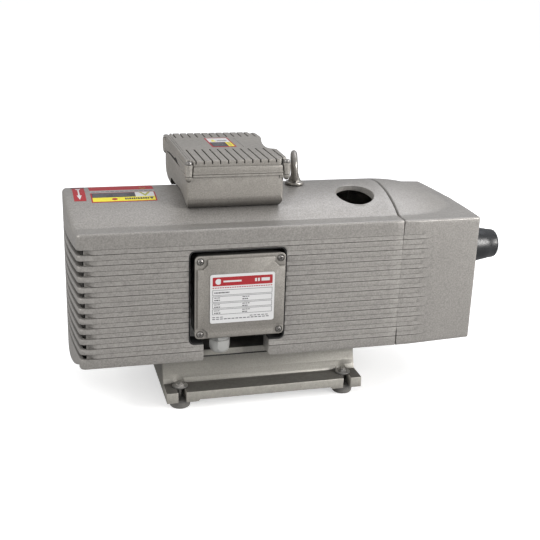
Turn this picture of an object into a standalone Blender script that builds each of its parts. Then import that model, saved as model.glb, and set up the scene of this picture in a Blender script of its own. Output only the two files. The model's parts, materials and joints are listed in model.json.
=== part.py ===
# Oil-free rotary vane vacuum pump under one sound hood, on a slotted foot frame.
# Axes: X runs along the shaft (motor end at -X, pump end at +X), -Y is the front
# with the terminal box, +Z is up.  The object's origin is the middle of its
# outline box in plan, on the plane the rubber feet stand on.
# Every length below is in millimetres and is counted from the middle of the foot
# pattern, where the shaft's vertical plane is Y = 0; FRAME_AT is the object's
# origin in those numbers.  Meshes are written in metres.
# Pairs are given in X, Y, Z order without the axis they are extruded or turned
# along; a turned profile is a list of (radius, height along the axis).
import math

import bpy
import bmesh
from mathutils import Matrix, Vector

MM = 0.001
GAP = 0.3            # clearance between neighbouring pieces
ROUND_DETAIL = 0.62  # share of the nominal segment count used on round pieces

# ---------------------------------------------------------------- dimensions
# hood (motor side) and its section
HOOD_LEFT_X = -230.0
HOOD_BULGE = 7.5      # the louvred end bows outwards in plan
SEAM_X = 164.0        # joint between the hood and the end cover
HOOD_HALF_W = 104.0
HOOD_BOTTOM_Z = 73.0
HOOD_SIDE_TOP_Z = 238.0
SHOULDER_Y = 81.0     # flat shoulder runs from the side to here, then the arch starts
CREST_Z = 262.0
RISE = CREST_Z - HOOD_SIDE_TOP_Z
ARCH_R = (SHOULDER_Y ** 2 + RISE ** 2) / (2.0 * RISE)
HOOD_WALL = 4.5
CORNER_EDGE = 2.5     # size of the broken edge between side and shoulder
INNER_BOTTOM_Z = 40.0  # the inner cutters reach down to here, below the hood
LIP_Z, LIP_RISE = 54.0, 21.0   # the louvred end's lower edge: a parabola this low in the
LIP_HALF_W = 91.0              # middle, that much higher at this distance from it

# flutes along both sides; the louvre slots continue them round the end
FLUTE_COUNT = 11
FLUTE_TOP_Z = 213.7   # lower edge of the topmost flute
FLUTE_PITCH = 12.7
FLUTE_BAND = 6.4
FLUTE_DEPTH = 1.4
FLUTE_EDGES_Z = [FLUTE_TOP_Z - FLUTE_PITCH * k for k in range(FLUTE_COUNT)]
SLOT_WRAP_X = -222.0  # the slots end here on the front and back faces

# end cover
COVER_END_X = 270.5
COVER_END_HALF_W = 97.0
COVER_KINK_X = 184.0  # the sides start to taper inwards here
COVER_BULGE = 4.0
DOME_END_X = 262.0    # the arch dies out into the flat top here
COVER_WALL = 4.0

# openings in the hood
SUCTION_X, SUCTION_Y, SUCTION_R = 121.5, -39.0, 24.2
SUCTION_AT = (SUCTION_X, SUCTION_Y)
EYEBOLT_X = 53.0
CABLE_AT = (-38.0, 0.0)
RECESS_X0, RECESS_X1, RECESS_Z0, RECESS_Z1, RECESS_R = -102.0, 16.0, 94.0, 212.0, 7.0
NOTCH_X0, NOTCH_X1 = -84.0, -3.0
RECESS_WALL = 3.0
RECESS_RETURN_Y = -79.0  # depth reached by the wall folded in round the recess

# shaft line and pump
AXIS_Z = 156.0
ROTOR_R = 43.0
BORE_R = 50.0
ECCENTRICITY = 6.6
BORE_Z = AXIS_Z - ECCENTRICITY
CYL_X0, CYL_X1 = 36.0, 141.7
CASTING_HALF_W, CASTING_Z0, CASTING_Z1, CASTING_R = 64.0, 90.0, 214.0, 16.0
VALVE_TOP_Z = 213.9
VANE_COUNT = 6
VANE_T = 4.0
VANE_DEPTH = 20.4
VANE_REST_R = 19.3    # inner edge of a vane that rests on its slot's bottom
FAN_BLADES = 9
FIN_COUNT = 24

# feet and base frame
FOOT_X, FOOT_Y = 107.3, 72.0
FOOT_R = 13.3
BASE_HALF_L = 126.5
FLANGE_Y = 91.5
FLANGE_Z0, FLANGE_Z1 = 14.5, 26.0
PAD_DROP = 2.0
PAD_Z = FLANGE_Z0 - PAD_DROP
FOOT_H = PAD_Z - GAP
END_WALL_T = 5.5
PAD_LENGTH, PAD_INNER_Y = 41.0, 55.0
BOLT_SLOT_R = 5.2
SHELF_Y, SHELF_Z0, SHELF_Z1 = 78.0, 67.5, 75.5
CASTING_FOOT_HALF_W, CASTING_FOOT_Z = 42.0, 75.9  # castings stand just above the shelf

# terminal box
TERM_X0, TERM_X1, TERM_Z0, TERM_Z1 = -96.0, 13.2, 103.6, 207.0
TERM_FRONT_Y = -112.0
TERM_BODY_Y0, TERM_BODY_Y1 = -104.3, RECESS_RETURN_Y + 3.5
TERM_GASKET_Y0 = -106.1
TERM_EDGE = 1.5       # body and gasket are this much smaller than the lid all round
TERM_SCREW_INSET = 6.3
TERM_SCREWS = [(x, z) for z in (TERM_Z0 + TERM_SCREW_INSET, TERM_Z1 - TERM_SCREW_INSET)
               for x in (TERM_X0 + TERM_SCREW_INSET, TERM_X1 - TERM_SCREW_INSET)]
NAMEPLATE_Y = TERM_FRONT_Y - 0.9
GLAND_AT = (-62.0, -92.0)

# capacitor box on top
CAP_X0, CAP_X1 = -97.5, 20.3
CAP_Y0, CAP_Y1 = -67.5, 101.5
CAP_TOP_Z = 291.0
CAP_GASKET_Z1 = CAP_TOP_Z + 3.0
CAP_LID_Z0, CAP_LID_TOP_Z = CAP_GASKET_Z1 + GAP, 310.0
CAP_LID_X0, CAP_LID_X1 = CAP_X0 - 1.5, CAP_X1 + 7.2
CAP_LID_Y0, CAP_LID_Y1 = CAP_Y0 - 3.0, CAP_Y1 + 5.5
GROOVE_COUNT, GROOVE_X, GROOVE_PITCH, GROOVE_HALF_W = 12, -86.2, 9.7, 1.0
GROOVE_FLOOR_Z = CAP_LID_TOP_Z - 4.2
CAP_SCREWS = [(x, y) for y in (CAP_Y0 + 1.5, CAP_Y1 + 1.2)
              for x in (CAP_X0 + 1.5, CAP_X1 + 2.5)]
CAN_R, CAN_Z = 14.5, 284.5

# filter and silencer
FILTER_AT, FILTER_POINTS = (-44.0, 126.0), 28
SILENCER_AT = (42.0, 134.0)

# regulator
REG_Y, REG_Z = REG_AT = (-52.0, 186.0)
KNOB_END_X = 316.5
KNOB_FACE_X = KNOB_END_X - 0.2
SPRING_X0, SPRING_X1, SPRING_R = 220.9, 253.9, 5.9
SPRING_TURNS, SPRING_STEPS = 5, 10
WIRE_R, WIRE_SEGMENTS = 0.9, 5

# middle of the outline box: louvred end to knob face, nameplate to lid edge
FRAME_AT = Vector(((HOOD_LEFT_X - HOOD_BULGE + KNOB_FACE_X) / 2.0,
                   (NAMEPLATE_Y + CAP_LID_Y1) / 2.0, 0.0))

for old in list(bpy.data.objects):
    bpy.data.objects.remove(old, do_unlink=True)


# ---------------------------------------------------------------- materials
def material(name, rgb, rough, metal):
    result = bpy.data.materials.new(name)
    result.use_nodes = True
    inputs = result.node_tree.nodes["Principled BSDF"].inputs
    inputs["Base Color"].default_value = (*rgb, 1.0)
    inputs["Roughness"].default_value = rough
    inputs["Metallic"].default_value = metal
    return result


PAINT = material("grey_paint", rgb=(0.26, 0.25, 0.24), rough=0.45, metal=0.35)
STEEL = material("zinc_steel", rgb=(0.55, 0.55, 0.54), rough=0.35, metal=0.9)
SHAFT_STEEL = material("ground_steel", rgb=(0.60, 0.60, 0.60), rough=0.25, metal=1.0)
CAST_AL = material("cast_aluminium", rgb=(0.52, 0.52, 0.52), rough=0.5, metal=0.8)
CAST_IRON = material("cast_iron", rgb=(0.20, 0.20, 0.20), rough=0.6, metal=0.6)
GRAPHITE = material("graphite", rgb=(0.06, 0.06, 0.065), rough=0.5, metal=0.1)
COPPER = material("varnished_copper", rgb=(0.42, 0.18, 0.08), rough=0.4, metal=0.8)
LAMINATE = material("silicon_steel", rgb=(0.30, 0.30, 0.31), rough=0.45, metal=0.8)
RUBBER = material("grey_rubber", rgb=(0.22, 0.22, 0.21), rough=0.8, metal=0.0)
GASKET = material("black_gasket", rgb=(0.03, 0.03, 0.03), rough=0.7, metal=0.0)
KNOB_PLASTIC = material("slate_plastic", rgb=(0.055, 0.065, 0.075), rough=0.5, metal=0.0)
GLAND_PLASTIC = material("light_grey_plastic", rgb=(0.50, 0.51, 0.52), rough=0.5, metal=0.0)
FAN_PLASTIC = material("black_plastic", rgb=(0.03, 0.03, 0.03), rough=0.5, metal=0.0)
CAP_PLASTIC = material("white_plastic", rgb=(0.75, 0.75, 0.72), rough=0.5, metal=0.0)
PLATE = material("printed_plate", rgb=(0.80, 0.80, 0.80), rough=0.35, metal=0.1)
PAPER = material("filter_paper", rgb=(0.70, 0.62, 0.45), rough=0.9, metal=0.0)


# ---------------------------------------------------------------- mesh helpers
def place(axis, u, v, along):
    """3D point from a pair in the plane across the axis and a height along it."""
    point = [u, v]
    point.insert("XYZ".index(axis), along)
    return point


def prism(outline, axis, low, high):
    """Closed prism over an outline across the axis."""
    mesh = bmesh.new()
    start = [mesh.verts.new(place(axis, u, v, low)) for u, v in outline]
    end = [mesh.verts.new(place(axis, u, v, high)) for u, v in outline]
    mesh.faces.new(start)
    mesh.faces.new(list(reversed(end)))
    for i in range(len(outline)):
        j = (i + 1) % len(outline)
        mesh.faces.new((start[j], start[i], end[i], end[j]))
    return mesh


def box(x0, x1, y0, y1, z0, z1):
    return prism([(x0, y0), (x1, y0), (x1, y1), (x0, y1)], "Z", z0, z1)


def loft(rings):
    """Closed body through rings of equal length, with a cap at each end."""
    mesh = bmesh.new()
    rows = [[mesh.verts.new(p) for p in ring] for ring in rings]
    count = len(rows[0])
    for row, following in zip(rows, rows[1:]):
        for i in range(count):
            j = (i + 1) % count
            mesh.faces.new((row[i], row[j], following[j], following[i]))
    mesh.faces.new(list(reversed(rows[0])))
    mesh.faces.new(rows[-1])
    return mesh


def turned(profile, axis, at, segments, ring=False):
    """Body of revolution about the line through the pair at.  ring=True closes
    the profile on itself, otherwise it starts and ends on the axis."""
    count = max(8, 2 * round(segments * ROUND_DETAIL / 2))
    mesh = bmesh.new()
    rows = []
    for radius, along in profile:
        angles = [2 * math.pi * (k + 0.5) / count for k in range(count)]
        if radius < 1e-6:
            rows.append([mesh.verts.new(place(axis, *at, along))])
        else:
            rows.append([mesh.verts.new(place(axis, at[0] + radius * math.cos(angle),
                                              at[1] + radius * math.sin(angle), along))
                         for angle in angles])
    pairs = list(zip(rows, rows[1:]))
    if ring:
        pairs.append((rows[-1], rows[0]))
    for row, following in pairs:
        for i in range(count):
            j = (i + 1) % count
            if len(row) == 1:
                mesh.faces.new((row[0], following[j], following[i]))
            elif len(following) == 1:
                mesh.faces.new((row[i], row[j], following[0]))
            else:
                mesh.faces.new((row[i], row[j], following[j], following[i]))
    return mesh


def rod(radius, low, high, axis, at, segments):
    return turned([(0, low), (radius, low), (radius, high), (0, high)], axis, at, segments)


def merged(parts):
    """One mesh holding several separate closed bodies."""
    result = bmesh.new()
    for part in parts:
        transfer = bpy.data.meshes.new("transfer")
        part.to_mesh(transfer)
        part.free()
        result.from_mesh(transfer)
        bpy.data.meshes.remove(transfer)
    return result


def rods(radius, low, high, axis, places, segments):
    return merged([rod(radius, low, high, axis, at, segments) for at in places])


def moved(mesh, matrix):
    bmesh.ops.transform(mesh, matrix=matrix, verts=mesh.verts)
    return mesh


def make(name, mesh, mat, origin=(0.0, 0.0, 0.0), parent=None, smooth=True):
    """Object in metres whose origin lies at the given point in millimetres."""
    bmesh.ops.recalc_face_normals(mesh, faces=mesh.faces)
    for vertex in mesh.verts:
        vertex.co = (vertex.co - Vector(origin)) * MM
    data = bpy.data.meshes.new(name)
    mesh.to_mesh(data)
    mesh.free()
    data.materials.append(mat)
    piece = bpy.data.objects.new(name, data)
    bpy.context.scene.collection.objects.link(piece)
    if smooth:
        data.shade_smooth()
        data.set_sharp_from_angle(angle=math.radians(32))
    frame = FRAME_AT
    if parent is not None:
        piece.parent = parent
        frame = Vector(parent["origin_mm"])
    piece.location = (Vector(origin) - frame) * MM
    return piece


def combine(piece, name, mesh, operation):
    """Apply a hidden helper body to the piece; returns the helper."""
    helper = make("tool_" + name, mesh, PAINT, smooth=False)
    helper.hide_render = True
    helper.display_type = "WIRE"
    modifier = piece.modifiers.new(operation.lower(), "BOOLEAN")
    modifier.operation = operation
    modifier.object = helper
    return helper


def cut(piece, name, mesh):
    return combine(piece, name, mesh, "DIFFERENCE")


def join(piece, name, mesh):
    return combine(piece, name, mesh, "UNION")


def trim(piece, name, mesh):
    """Keep only what lies inside the helper."""
    return combine(piece, name, mesh, "INTERSECT")


def pivot(name, origin):
    """Empty on a joint's axis; pieces that move together hang from it."""
    empty = bpy.data.objects.new(name, None)
    bpy.context.scene.collection.objects.link(empty)
    empty.location = (Vector(origin) - FRAME_AT) * MM
    empty["origin_mm"] = list(origin)
    return empty


def arc(u, v, radius, start, end, steps):
    """Points on an arc about (u, v); the angles are in degrees."""
    angles = [math.radians(start + (end - start) * k / steps) for k in range(steps + 1)]
    return [(u + radius * math.cos(a), v + radius * math.sin(a)) for a in angles]


def rounded_rect(u0, u1, v0, v1, radius, steps=4):
    return (arc(u1 - radius, v0 + radius, radius, -90, 0, steps)
            + arc(u1 - radius, v1 - radius, radius, 0, 90, steps)
            + arc(u0 + radius, v1 - radius, radius, 90, 180, steps)
            + arc(u0 + radius, v0 + radius, radius, 180, 270, steps))


def hexagon(u, v, across_flats, turn):
    radius = across_flats / math.sqrt(3.0)
    return [(u + radius * math.cos(math.radians(60 * k + turn)),
             v + radius * math.sin(math.radians(60 * k + turn))) for k in range(6)]


def mirrored(points):
    """(y, z) points on the other side of the shaft's plane, in reverse order."""
    return [(-y, z) for y, z in reversed(points)]


# ---------------------------------------------------------------- hood outlines
def arch_z(y, half_chord=SHOULDER_Y, foot=HOOD_SIDE_TOP_Z, rise=RISE):
    """Height of the circular arch over the chord at foot height."""
    radius = (half_chord ** 2 + rise ** 2) / (2.0 * rise)
    return foot + rise - radius + math.sqrt(radius * radius - y * y)


def section(half_w, bottom, top, chord, rise, outer=True):
    """Half-open hood section as (y, z) points, from the front's lower edge over
    the top to the back's lower edge.  Only the outer skin has flutes and broken
    edges; the inner one is plain."""
    side = [(-half_w, bottom)]
    if outer:
        flute_y = min(HOOD_HALF_W - FLUTE_DEPTH, half_w - 0.01)
        for z in reversed(FLUTE_EDGES_Z):
            side += [(-half_w, z), (-flute_y, z + 0.3), (-half_w, z + FLUTE_BAND)]
        side += [(-half_w, top - CORNER_EDGE),
                 (-half_w + 0.3 * CORNER_EDGE, top - 0.3 * CORNER_EDGE),
                 (-half_w + CORNER_EDGE, top)]
    else:
        side.append((-half_w, top))
    steps = 12 if outer else 8
    across = [-chord + 2.0 * chord * k / steps for k in range(steps + 1)]
    return side + [(y, arch_z(y, chord, top, rise)) for y in across] + mirrored(side)


def lip_edge():
    """Lower edge that hangs down in the middle, with a small step at each corner."""
    steps, reach = 14, LIP_HALF_W + 2.5
    across = [reach - 2.0 * reach * k / steps for k in range(steps + 1)]
    return ([(LIP_HALF_W + 4.0, HOOD_BOTTOM_Z)]
            + [(y, LIP_Z + LIP_RISE * (y / LIP_HALF_W) ** 2) for y in across]
            + [(-LIP_HALF_W - 4.0, HOOD_BOTTOM_Z)])


def end_plan(corner_x, half_w, radius, bulge, reach, far_x):
    """Plan outline of a bowed end at -X with rounded corners."""
    front = [(far_x, -reach), (corner_x + radius, -reach)]
    front += [(corner_x + radius - radius * math.sin(math.radians(a)),
               -half_w + radius - radius * math.cos(math.radians(a))) for a in (0, 45, 90)]
    steps, flat = 8, half_w - radius
    across = [-flat + 2.0 * flat * k / steps for k in range(1, steps)]
    bow = [(corner_x - bulge * (1.0 - (y / flat) ** 2), y) for y in across]
    return front + bow + [(x, -y) for x, y in reversed(front)]


# ---------------------------------------------------------------- hood
def build_hood():
    """Fluted section with a bowed louvred end, open underneath and towards the cover."""
    hood = make("motor_hood", prism(
        section(HOOD_HALF_W, HOOD_BOTTOM_Z, HOOD_SIDE_TOP_Z, SHOULDER_Y, RISE) + lip_edge(),
        "X", -250.0, SEAM_X), PAINT)
    trim(hood, "hood_plan", prism(
        end_plan(HOOD_LEFT_X, HOOD_HALF_W, 6.0, HOOD_BULGE, 120.0, SEAM_X + 40.0),
        "Z", 40.0, 300.0))
    cavity = cut(hood, "hood_inner", prism(
        section(HOOD_HALF_W - HOOD_WALL, INNER_BOTTOM_Z, HOOD_SIDE_TOP_Z - HOOD_WALL,
                SHOULDER_Y - 2.0, RISE, outer=False), "X", -245.0, SEAM_X + 20.0))
    trim(cavity, "hood_inner_plan", prism(
        end_plan(HOOD_LEFT_X + 5.0, HOOD_HALF_W - 3.0, 6.0, HOOD_BULGE, 118.0, SEAM_X + 60.0),
        "Z", 30.0, 310.0))
    # underside level, behind the hanging lip of the louvred end
    cut(hood, "hood_underside",
        box(SLOT_WRAP_X - 2.0, SEAM_X + 30.0, -130.0, 130.0, 30.0, HOOD_BOTTOM_Z))
    add_recess(hood)
    # louvres: slots that follow the flutes, through the end and round both corners
    cut(hood, "louvres", merged([
        box(-260.0, SLOT_WRAP_X, -125.0, 125.0, z + 0.15, z + FLUTE_BAND - 0.1)
        for z in FLUTE_EDGES_Z]))
    # suction opening, square to the arch, with a chamfered rim
    tilt = math.asin(SUCTION_Y / ARCH_R)
    rim_r = SUCTION_R + 3.4
    square_to_arch = (Matrix.Translation((*SUCTION_AT, arch_z(SUCTION_Y)))
                      @ Matrix.Rotation(-tilt, 4, "X"))
    cut(hood, "suction_cut", moved(turned(
        [(0, -20), (SUCTION_R, -20), (SUCTION_R, -2.2), (rim_r, 1.2), (rim_r, 12), (0, 12)],
        "Z", (0, 0), 40), square_to_arch))
    cut(hood, "eyebolt_hole", rod(5.6, 240, 275, "Z", (EYEBOLT_X, 0), 20))
    cut(hood, "cable_hole", rod(9, 240, 275, "Z", CABLE_AT, 20))


def add_recess(hood):
    """Terminal recess with a folded-in wall and a notch down through the lower
    edge; the ribs behind the louvres are joined before the recess is cut."""
    join(hood, "recess_wall", prism(
        rounded_rect(RECESS_X0 - RECESS_WALL, RECESS_X1 + RECESS_WALL,
                     RECESS_Z0 - RECESS_WALL, RECESS_Z1 + RECESS_WALL, RECESS_R + RECESS_WALL),
        "Y", HOOD_WALL / 2.0 - HOOD_HALF_W, RECESS_RETURN_Y))
    join(hood, "notch_wall", box(NOTCH_X0 - RECESS_WALL, NOTCH_X1 + RECESS_WALL,
                                 -102.0, RECESS_RETURN_Y, HOOD_BOTTOM_Z + 0.5, RECESS_Z0))
    for i, y in enumerate((-48.0, 0.0, 48.0)):
        join(hood, f"louvre_rib_{i}", box(-234.3, -215.0, y - 2.0, y + 2.0, 76.0, 236.0))
    cut(hood, "recess_cut", prism(
        rounded_rect(RECESS_X0, RECESS_X1, RECESS_Z0, RECESS_Z1, RECESS_R), "Y", -120.0, -70.0))
    cut(hood, "notch_cut", box(NOTCH_X0, NOTCH_X1, -119.0, -71.0, 60.0, RECESS_Z0 + 2.0))


# ---------------------------------------------------------------- end cover
def cover_ring(x, inset=0.0):
    """Section of the end cover at x; an inset gives the inner skin."""
    dome = min(max((x - SEAM_X) / (DOME_END_X - SEAM_X), 0.0), 0.995)
    chord = SHOULDER_Y * math.sqrt(1.0 - dome * dome)
    rise = RISE * (1.0 - dome ** 2.4)
    taper = max(0.0, (x - COVER_KINK_X) / (COVER_END_X - COVER_KINK_X))
    half_w = HOOD_HALF_W - (HOOD_HALF_W - COVER_END_HALF_W) * taper
    top = HOOD_SIDE_TOP_Z - 2.0 * max(0.0, (x - SEAM_X) / (COVER_END_X - SEAM_X))
    if inset:
        points = section(half_w - inset - 1.0, INNER_BOTTOM_Z, top - inset, chord - 3.0, rise,
                         outer=False)
    else:
        points = section(half_w, HOOD_BOTTOM_Z, top, chord, rise)
    return [(x, y, z) for y, z in points]


def build_cover():
    # the tapering side meets the bottom of the flutes here
    runout_x = COVER_KINK_X + (FLUTE_DEPTH * (COVER_END_X - COVER_KINK_X)
                               / (HOOD_HALF_W - COVER_END_HALF_W))
    cover = make("end_cover", loft([cover_ring(x) for x in (
        SEAM_X + 0.5, COVER_KINK_X, runout_x, 228.0, 248.0, 258.0, 261.9, 280.0)]), PAINT)
    # the end plan is drawn for an end at -X, so it is flipped
    trim(cover, "cover_plan", moved(prism(
        end_plan(-COVER_END_X, COVER_END_HALF_W, 3.0, COVER_BULGE, 120.0, -SEAM_X + 40.0),
        "Z", 30.0, 300.0), Matrix.Scale(-1.0, 4, (1, 0, 0))))
    cut(cover, "cover_inner", loft([cover_ring(x, COVER_WALL) for x in (
        SEAM_X - 20.0, COVER_KINK_X, 222.0, 250.0, COVER_END_X - 4.5)]))
    cut(cover, "regulator_hole", rod(10.9, 240, 290, "X", REG_AT, 28))


# ---------------------------------------------------------------- lifting eyebolt
def build_eyebolt():
    base_z = arch_z(0.0) + GAP
    ring_r, bar_r = 17.6, 4.7
    eye = make("lifting_eyebolt", moved(turned(
        [(0, -14), (4.9, -14), (4.9, 0), (11.2, 0), (11.7, 1.0), (11.7, 2.6), (10.8, 3.6),
         (7.2, 4.6), (6.0, 8.0), (4.6, 13.0), (0, 13.0)],
        "Z", (0, 0), 24), Matrix.Translation((EYEBOLT_X, 0, base_z))), STEEL)
    angles = [2 * math.pi * k / 8 for k in range(8)]
    bar = [(ring_r + bar_r * math.cos(a), bar_r * math.sin(a)) for a in angles]
    join(eye, "eye_ring", moved(
        turned(bar, "X", (0, 0), 28, ring=True),
        Matrix.Translation((EYEBOLT_X, 0, base_z + 22.4))
        @ Matrix.Rotation(math.radians(-15), 4, "Z")))


# ---------------------------------------------------------------- base frame
# (y, z) of the front leg's web, outer face upwards and inner face downwards
WEB_OUTER = [(-63.0, FLANGE_Z1), (-58.5, 31.0), (-55.0, 38.0), (-53.0, 47.0), (-52.0, 58.0),
             (-52.0, SHELF_Z0)]
WEB_INNER = [(-44.0, SHELF_Z0 - 6.0), (-44.5, 56.0), (-46.0, 44.0), (-49.0, 32.0),
             (-53.0, FLANGE_Z0)]


def build_base():
    outer = ([(-FLANGE_Y, FLANGE_Z0), (-FLANGE_Y, FLANGE_Z1)] + WEB_OUTER
             + [(-SHELF_Y, SHELF_Z0), (-SHELF_Y, SHELF_Z1)])
    base = make("base_frame", prism(
        outer + mirrored(outer) + mirrored(WEB_INNER) + WEB_INNER,
        "X", -BASE_HALF_L, BASE_HALF_L), PAINT)
    sides = (-1, 1)
    corners = [(end, side) for end in sides for side in sides]
    # end walls between the two legs
    for end in sides:
        x0, x1 = sorted((end * BASE_HALF_L, end * (BASE_HALF_L - END_WALL_T)))
        join(base, f"end_wall_{end}", box(x0, x1, -60.0, 60.0, PAD_Z, 27.0))
        join(base, f"end_wall_top_{end}", box(x0, x1, -50.0, 50.0, FLANGE_Z1, 70.0))
    for end, side in corners:
        x0, x1 = sorted((end * BASE_HALF_L, end * (BASE_HALF_L - PAD_LENGTH)))
        y0, y1 = sorted((side * FLANGE_Y, side * PAD_INNER_Y))
        join(base, f"pad_{end}_{side}", box(x0, x1, y0, y1, PAD_Z, FLANGE_Z0 + 2.0))
    # bolt slots, open towards the front and back edges
    for end, side in corners:
        x = end * FOOT_X
        slot = [(x - BOLT_SLOT_R, side * 120.0), (x + BOLT_SLOT_R, side * 120.0)]
        slot += arc(x, side * FOOT_Y, BOLT_SLOT_R, 0, side * -180, 8)
        cut(base, f"slot_{end}_{side}", prism(slot, "Z", 5.0, 34.0))


def build_foot(label, x, y):
    """Rubber foot and the bolt with its washer above it."""
    make("rubber_foot_" + label, turned(
        [(0, 0), (11.6, 0), (12.9, 1.0), (FOOT_R, 2.6), (FOOT_R, FOOT_H), (3.6, FOOT_H),
         (3.6, 4.0), (0, 4.0)], "Z", (x, y), 24), RUBBER)
    washer_z = FLANGE_Z1 + GAP
    bolt = make("foot_bolt_" + label, prism(
        hexagon(x, y, 10.0, 12.0), "Z", washer_z + 1.2, washer_z + 6.2), STEEL)
    join(bolt, "bolt_shank_" + label, turned(
        [(0, 5.0), (3.0, 5.0), (3.0, washer_z), (9.5, washer_z), (9.5, washer_z + 1.6),
         (0, washer_z + 1.6)], "Z", (x, y), 20))


# ---------------------------------------------------------------- terminal box
def term_outline(inset, radius):
    return rounded_rect(TERM_X0 + inset, TERM_X1 - inset, TERM_Z0 + inset, TERM_Z1 - inset,
                        radius, 3)


def build_terminal_box():
    body = make("terminal_box_body", prism(
        term_outline(TERM_EDGE, 4.0), "Y", TERM_BODY_Y0, TERM_BODY_Y1), PAINT)
    cut(body, "tb_hollow", prism(term_outline(4.5, 9.0), "Y", -120.0, TERM_BODY_Y1 - 3.0))
    cut(body, "tb_gland_hole", rod(8.4, 90, 112, "Z", GLAND_AT, 20))
    cut(body, "tb_screw_holes", rods(2.1, -110, -90, "Y", TERM_SCREWS, 12))

    gasket = make("terminal_box_gasket", prism(
        term_outline(TERM_EDGE, 4.0), "Y", TERM_GASKET_Y0, TERM_BODY_Y0 - GAP), GASKET)
    cut(gasket, "tb_gasket_hole", prism(term_outline(13.0, 6.0), "Y", -120.0, -90.0))
    cut(gasket, "tb_gasket_screws", rods(2.1, -112, -95, "Y", TERM_SCREWS, 12))

    lid = make("terminal_box_lid", prism(
        term_outline(0.0, 5.0), "Y", TERM_FRONT_Y, TERM_GASKET_Y0 - GAP), PAINT)
    cut(lid, "tb_lid_pockets", rods(6.2, -130, -109.4, "Y", TERM_SCREWS, 16))
    cut(lid, "tb_lid_holes", rods(2.1, -131, -100, "Y", TERM_SCREWS, 12))
    for i, at in enumerate(TERM_SCREWS):
        make(f"terminal_lid_screw_{i + 1}", turned(
            [(0, -112.6), (2.6, -112.3), (3.8, -111.0), (3.8, -109.8), (1.7, -109.8),
             (1.7, -93.0), (0, -93.0)], "Y", at, 14), STEEL)
    make("nameplate", prism(rounded_rect(-78.5, -0.5, 124.0, 185.0, 2.5, 2), "Y",
                            NAMEPLATE_Y, TERM_FRONT_Y - GAP), PLATE, smooth=False)
    block = make("terminal_block", box(-70.0, -14.0, -92.0, TERM_BODY_Y1 - 3.5, 145.0, 172.0),
                 FAN_PLASTIC, smooth=False)
    studs = [(-60.0 + 12.0 * i, 158.5) for i in range(4)]
    join(block, "tb_studs", rods(2.4, -100, -88, "Y", studs, 10))


def build_cable_gland():
    body = make("cable_gland_body", prism(
        hexagon(*GLAND_AT, 22.0, 10.0), "Z", 97.0, TERM_Z0 + 1.2), GLAND_PLASTIC)
    join(body, "gland_neck", rod(7.8, 84.5, TERM_Z0 + 12.0, "Z", GLAND_AT, 20))
    cut(body, "gland_bore", rod(5.6, 70, 130, "Z", GLAND_AT, 16))
    make("cable_gland_nut", turned(
        [(8.2, 96.6), (12.2, 96.6), (12.4, 88.0), (11.4, 83.5), (9.0, 80.2), (5.8, 79.4),
         (5.8, 84.0), (8.2, 84.0)], "Z", GLAND_AT, 24, ring=True), GLAND_PLASTIC)


# ---------------------------------------------------------------- capacitor box
# (y, z) down the box's front face and round its lower edge
CAP_FRONT_SIDE = [
    (CAP_Y0, CAP_TOP_Z), (CAP_Y0, 268.0), (CAP_Y0 + 0.8, 262.5), (CAP_Y0 + 2.8, 257.5),
    (CAP_Y0 + 6.0, 253.6), (CAP_Y0 + 9.5, 251.4)]
# (y, z) from the underside up the back face
CAP_BACK_SIDE = [
    (68.0, 250.6), (78.0, 252.4), (87.0, 256.0), (94.0, 261.5), (98.5, 268.5),
    (100.8, 276.5), (CAP_Y1, 284.0), (CAP_Y1, CAP_TOP_Z)]
# (x, z) seen from the front: the lower edges at both X ends are rounded
CAP_FRONT_VIEW = [
    (CAP_X0 - 5, 340.0), (CAP_X0 - 5, 281.0), (CAP_X0, 279.0), (CAP_X0, 262.0),
    (CAP_X0 + 1.0, 255.0), (CAP_X0 + 4.0, 249.0), (CAP_X0 + 8.0, 240.0),
    (CAP_X1 - 8.0, 240.0), (CAP_X1 - 5.0, 249.0), (CAP_X1 - 1.4, 256.5), (CAP_X1, 263.0),
    (CAP_X1, 279.0), (CAP_X1 + 5, 281.0), (CAP_X1 + 5, 340.0)]
# (y, z) of the hollow
CAP_HOLLOW = [
    (CAP_Y0 + 3.5, 330.0), (CAP_Y0 + 3.5, 270.0), (CAP_Y0 + 9.0, 268.5), (0.0, 268.5),
    (CAP_Y1 - 9.0, 268.5), (CAP_Y1 - 3.5, 274.0), (CAP_Y1 - 3.5, 330.0)]


def cap_outline(inset, radius):
    return rounded_rect(CAP_X0 + inset, CAP_X1 - inset, CAP_Y0 + inset, CAP_Y1 - inset,
                        radius, 3)


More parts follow.
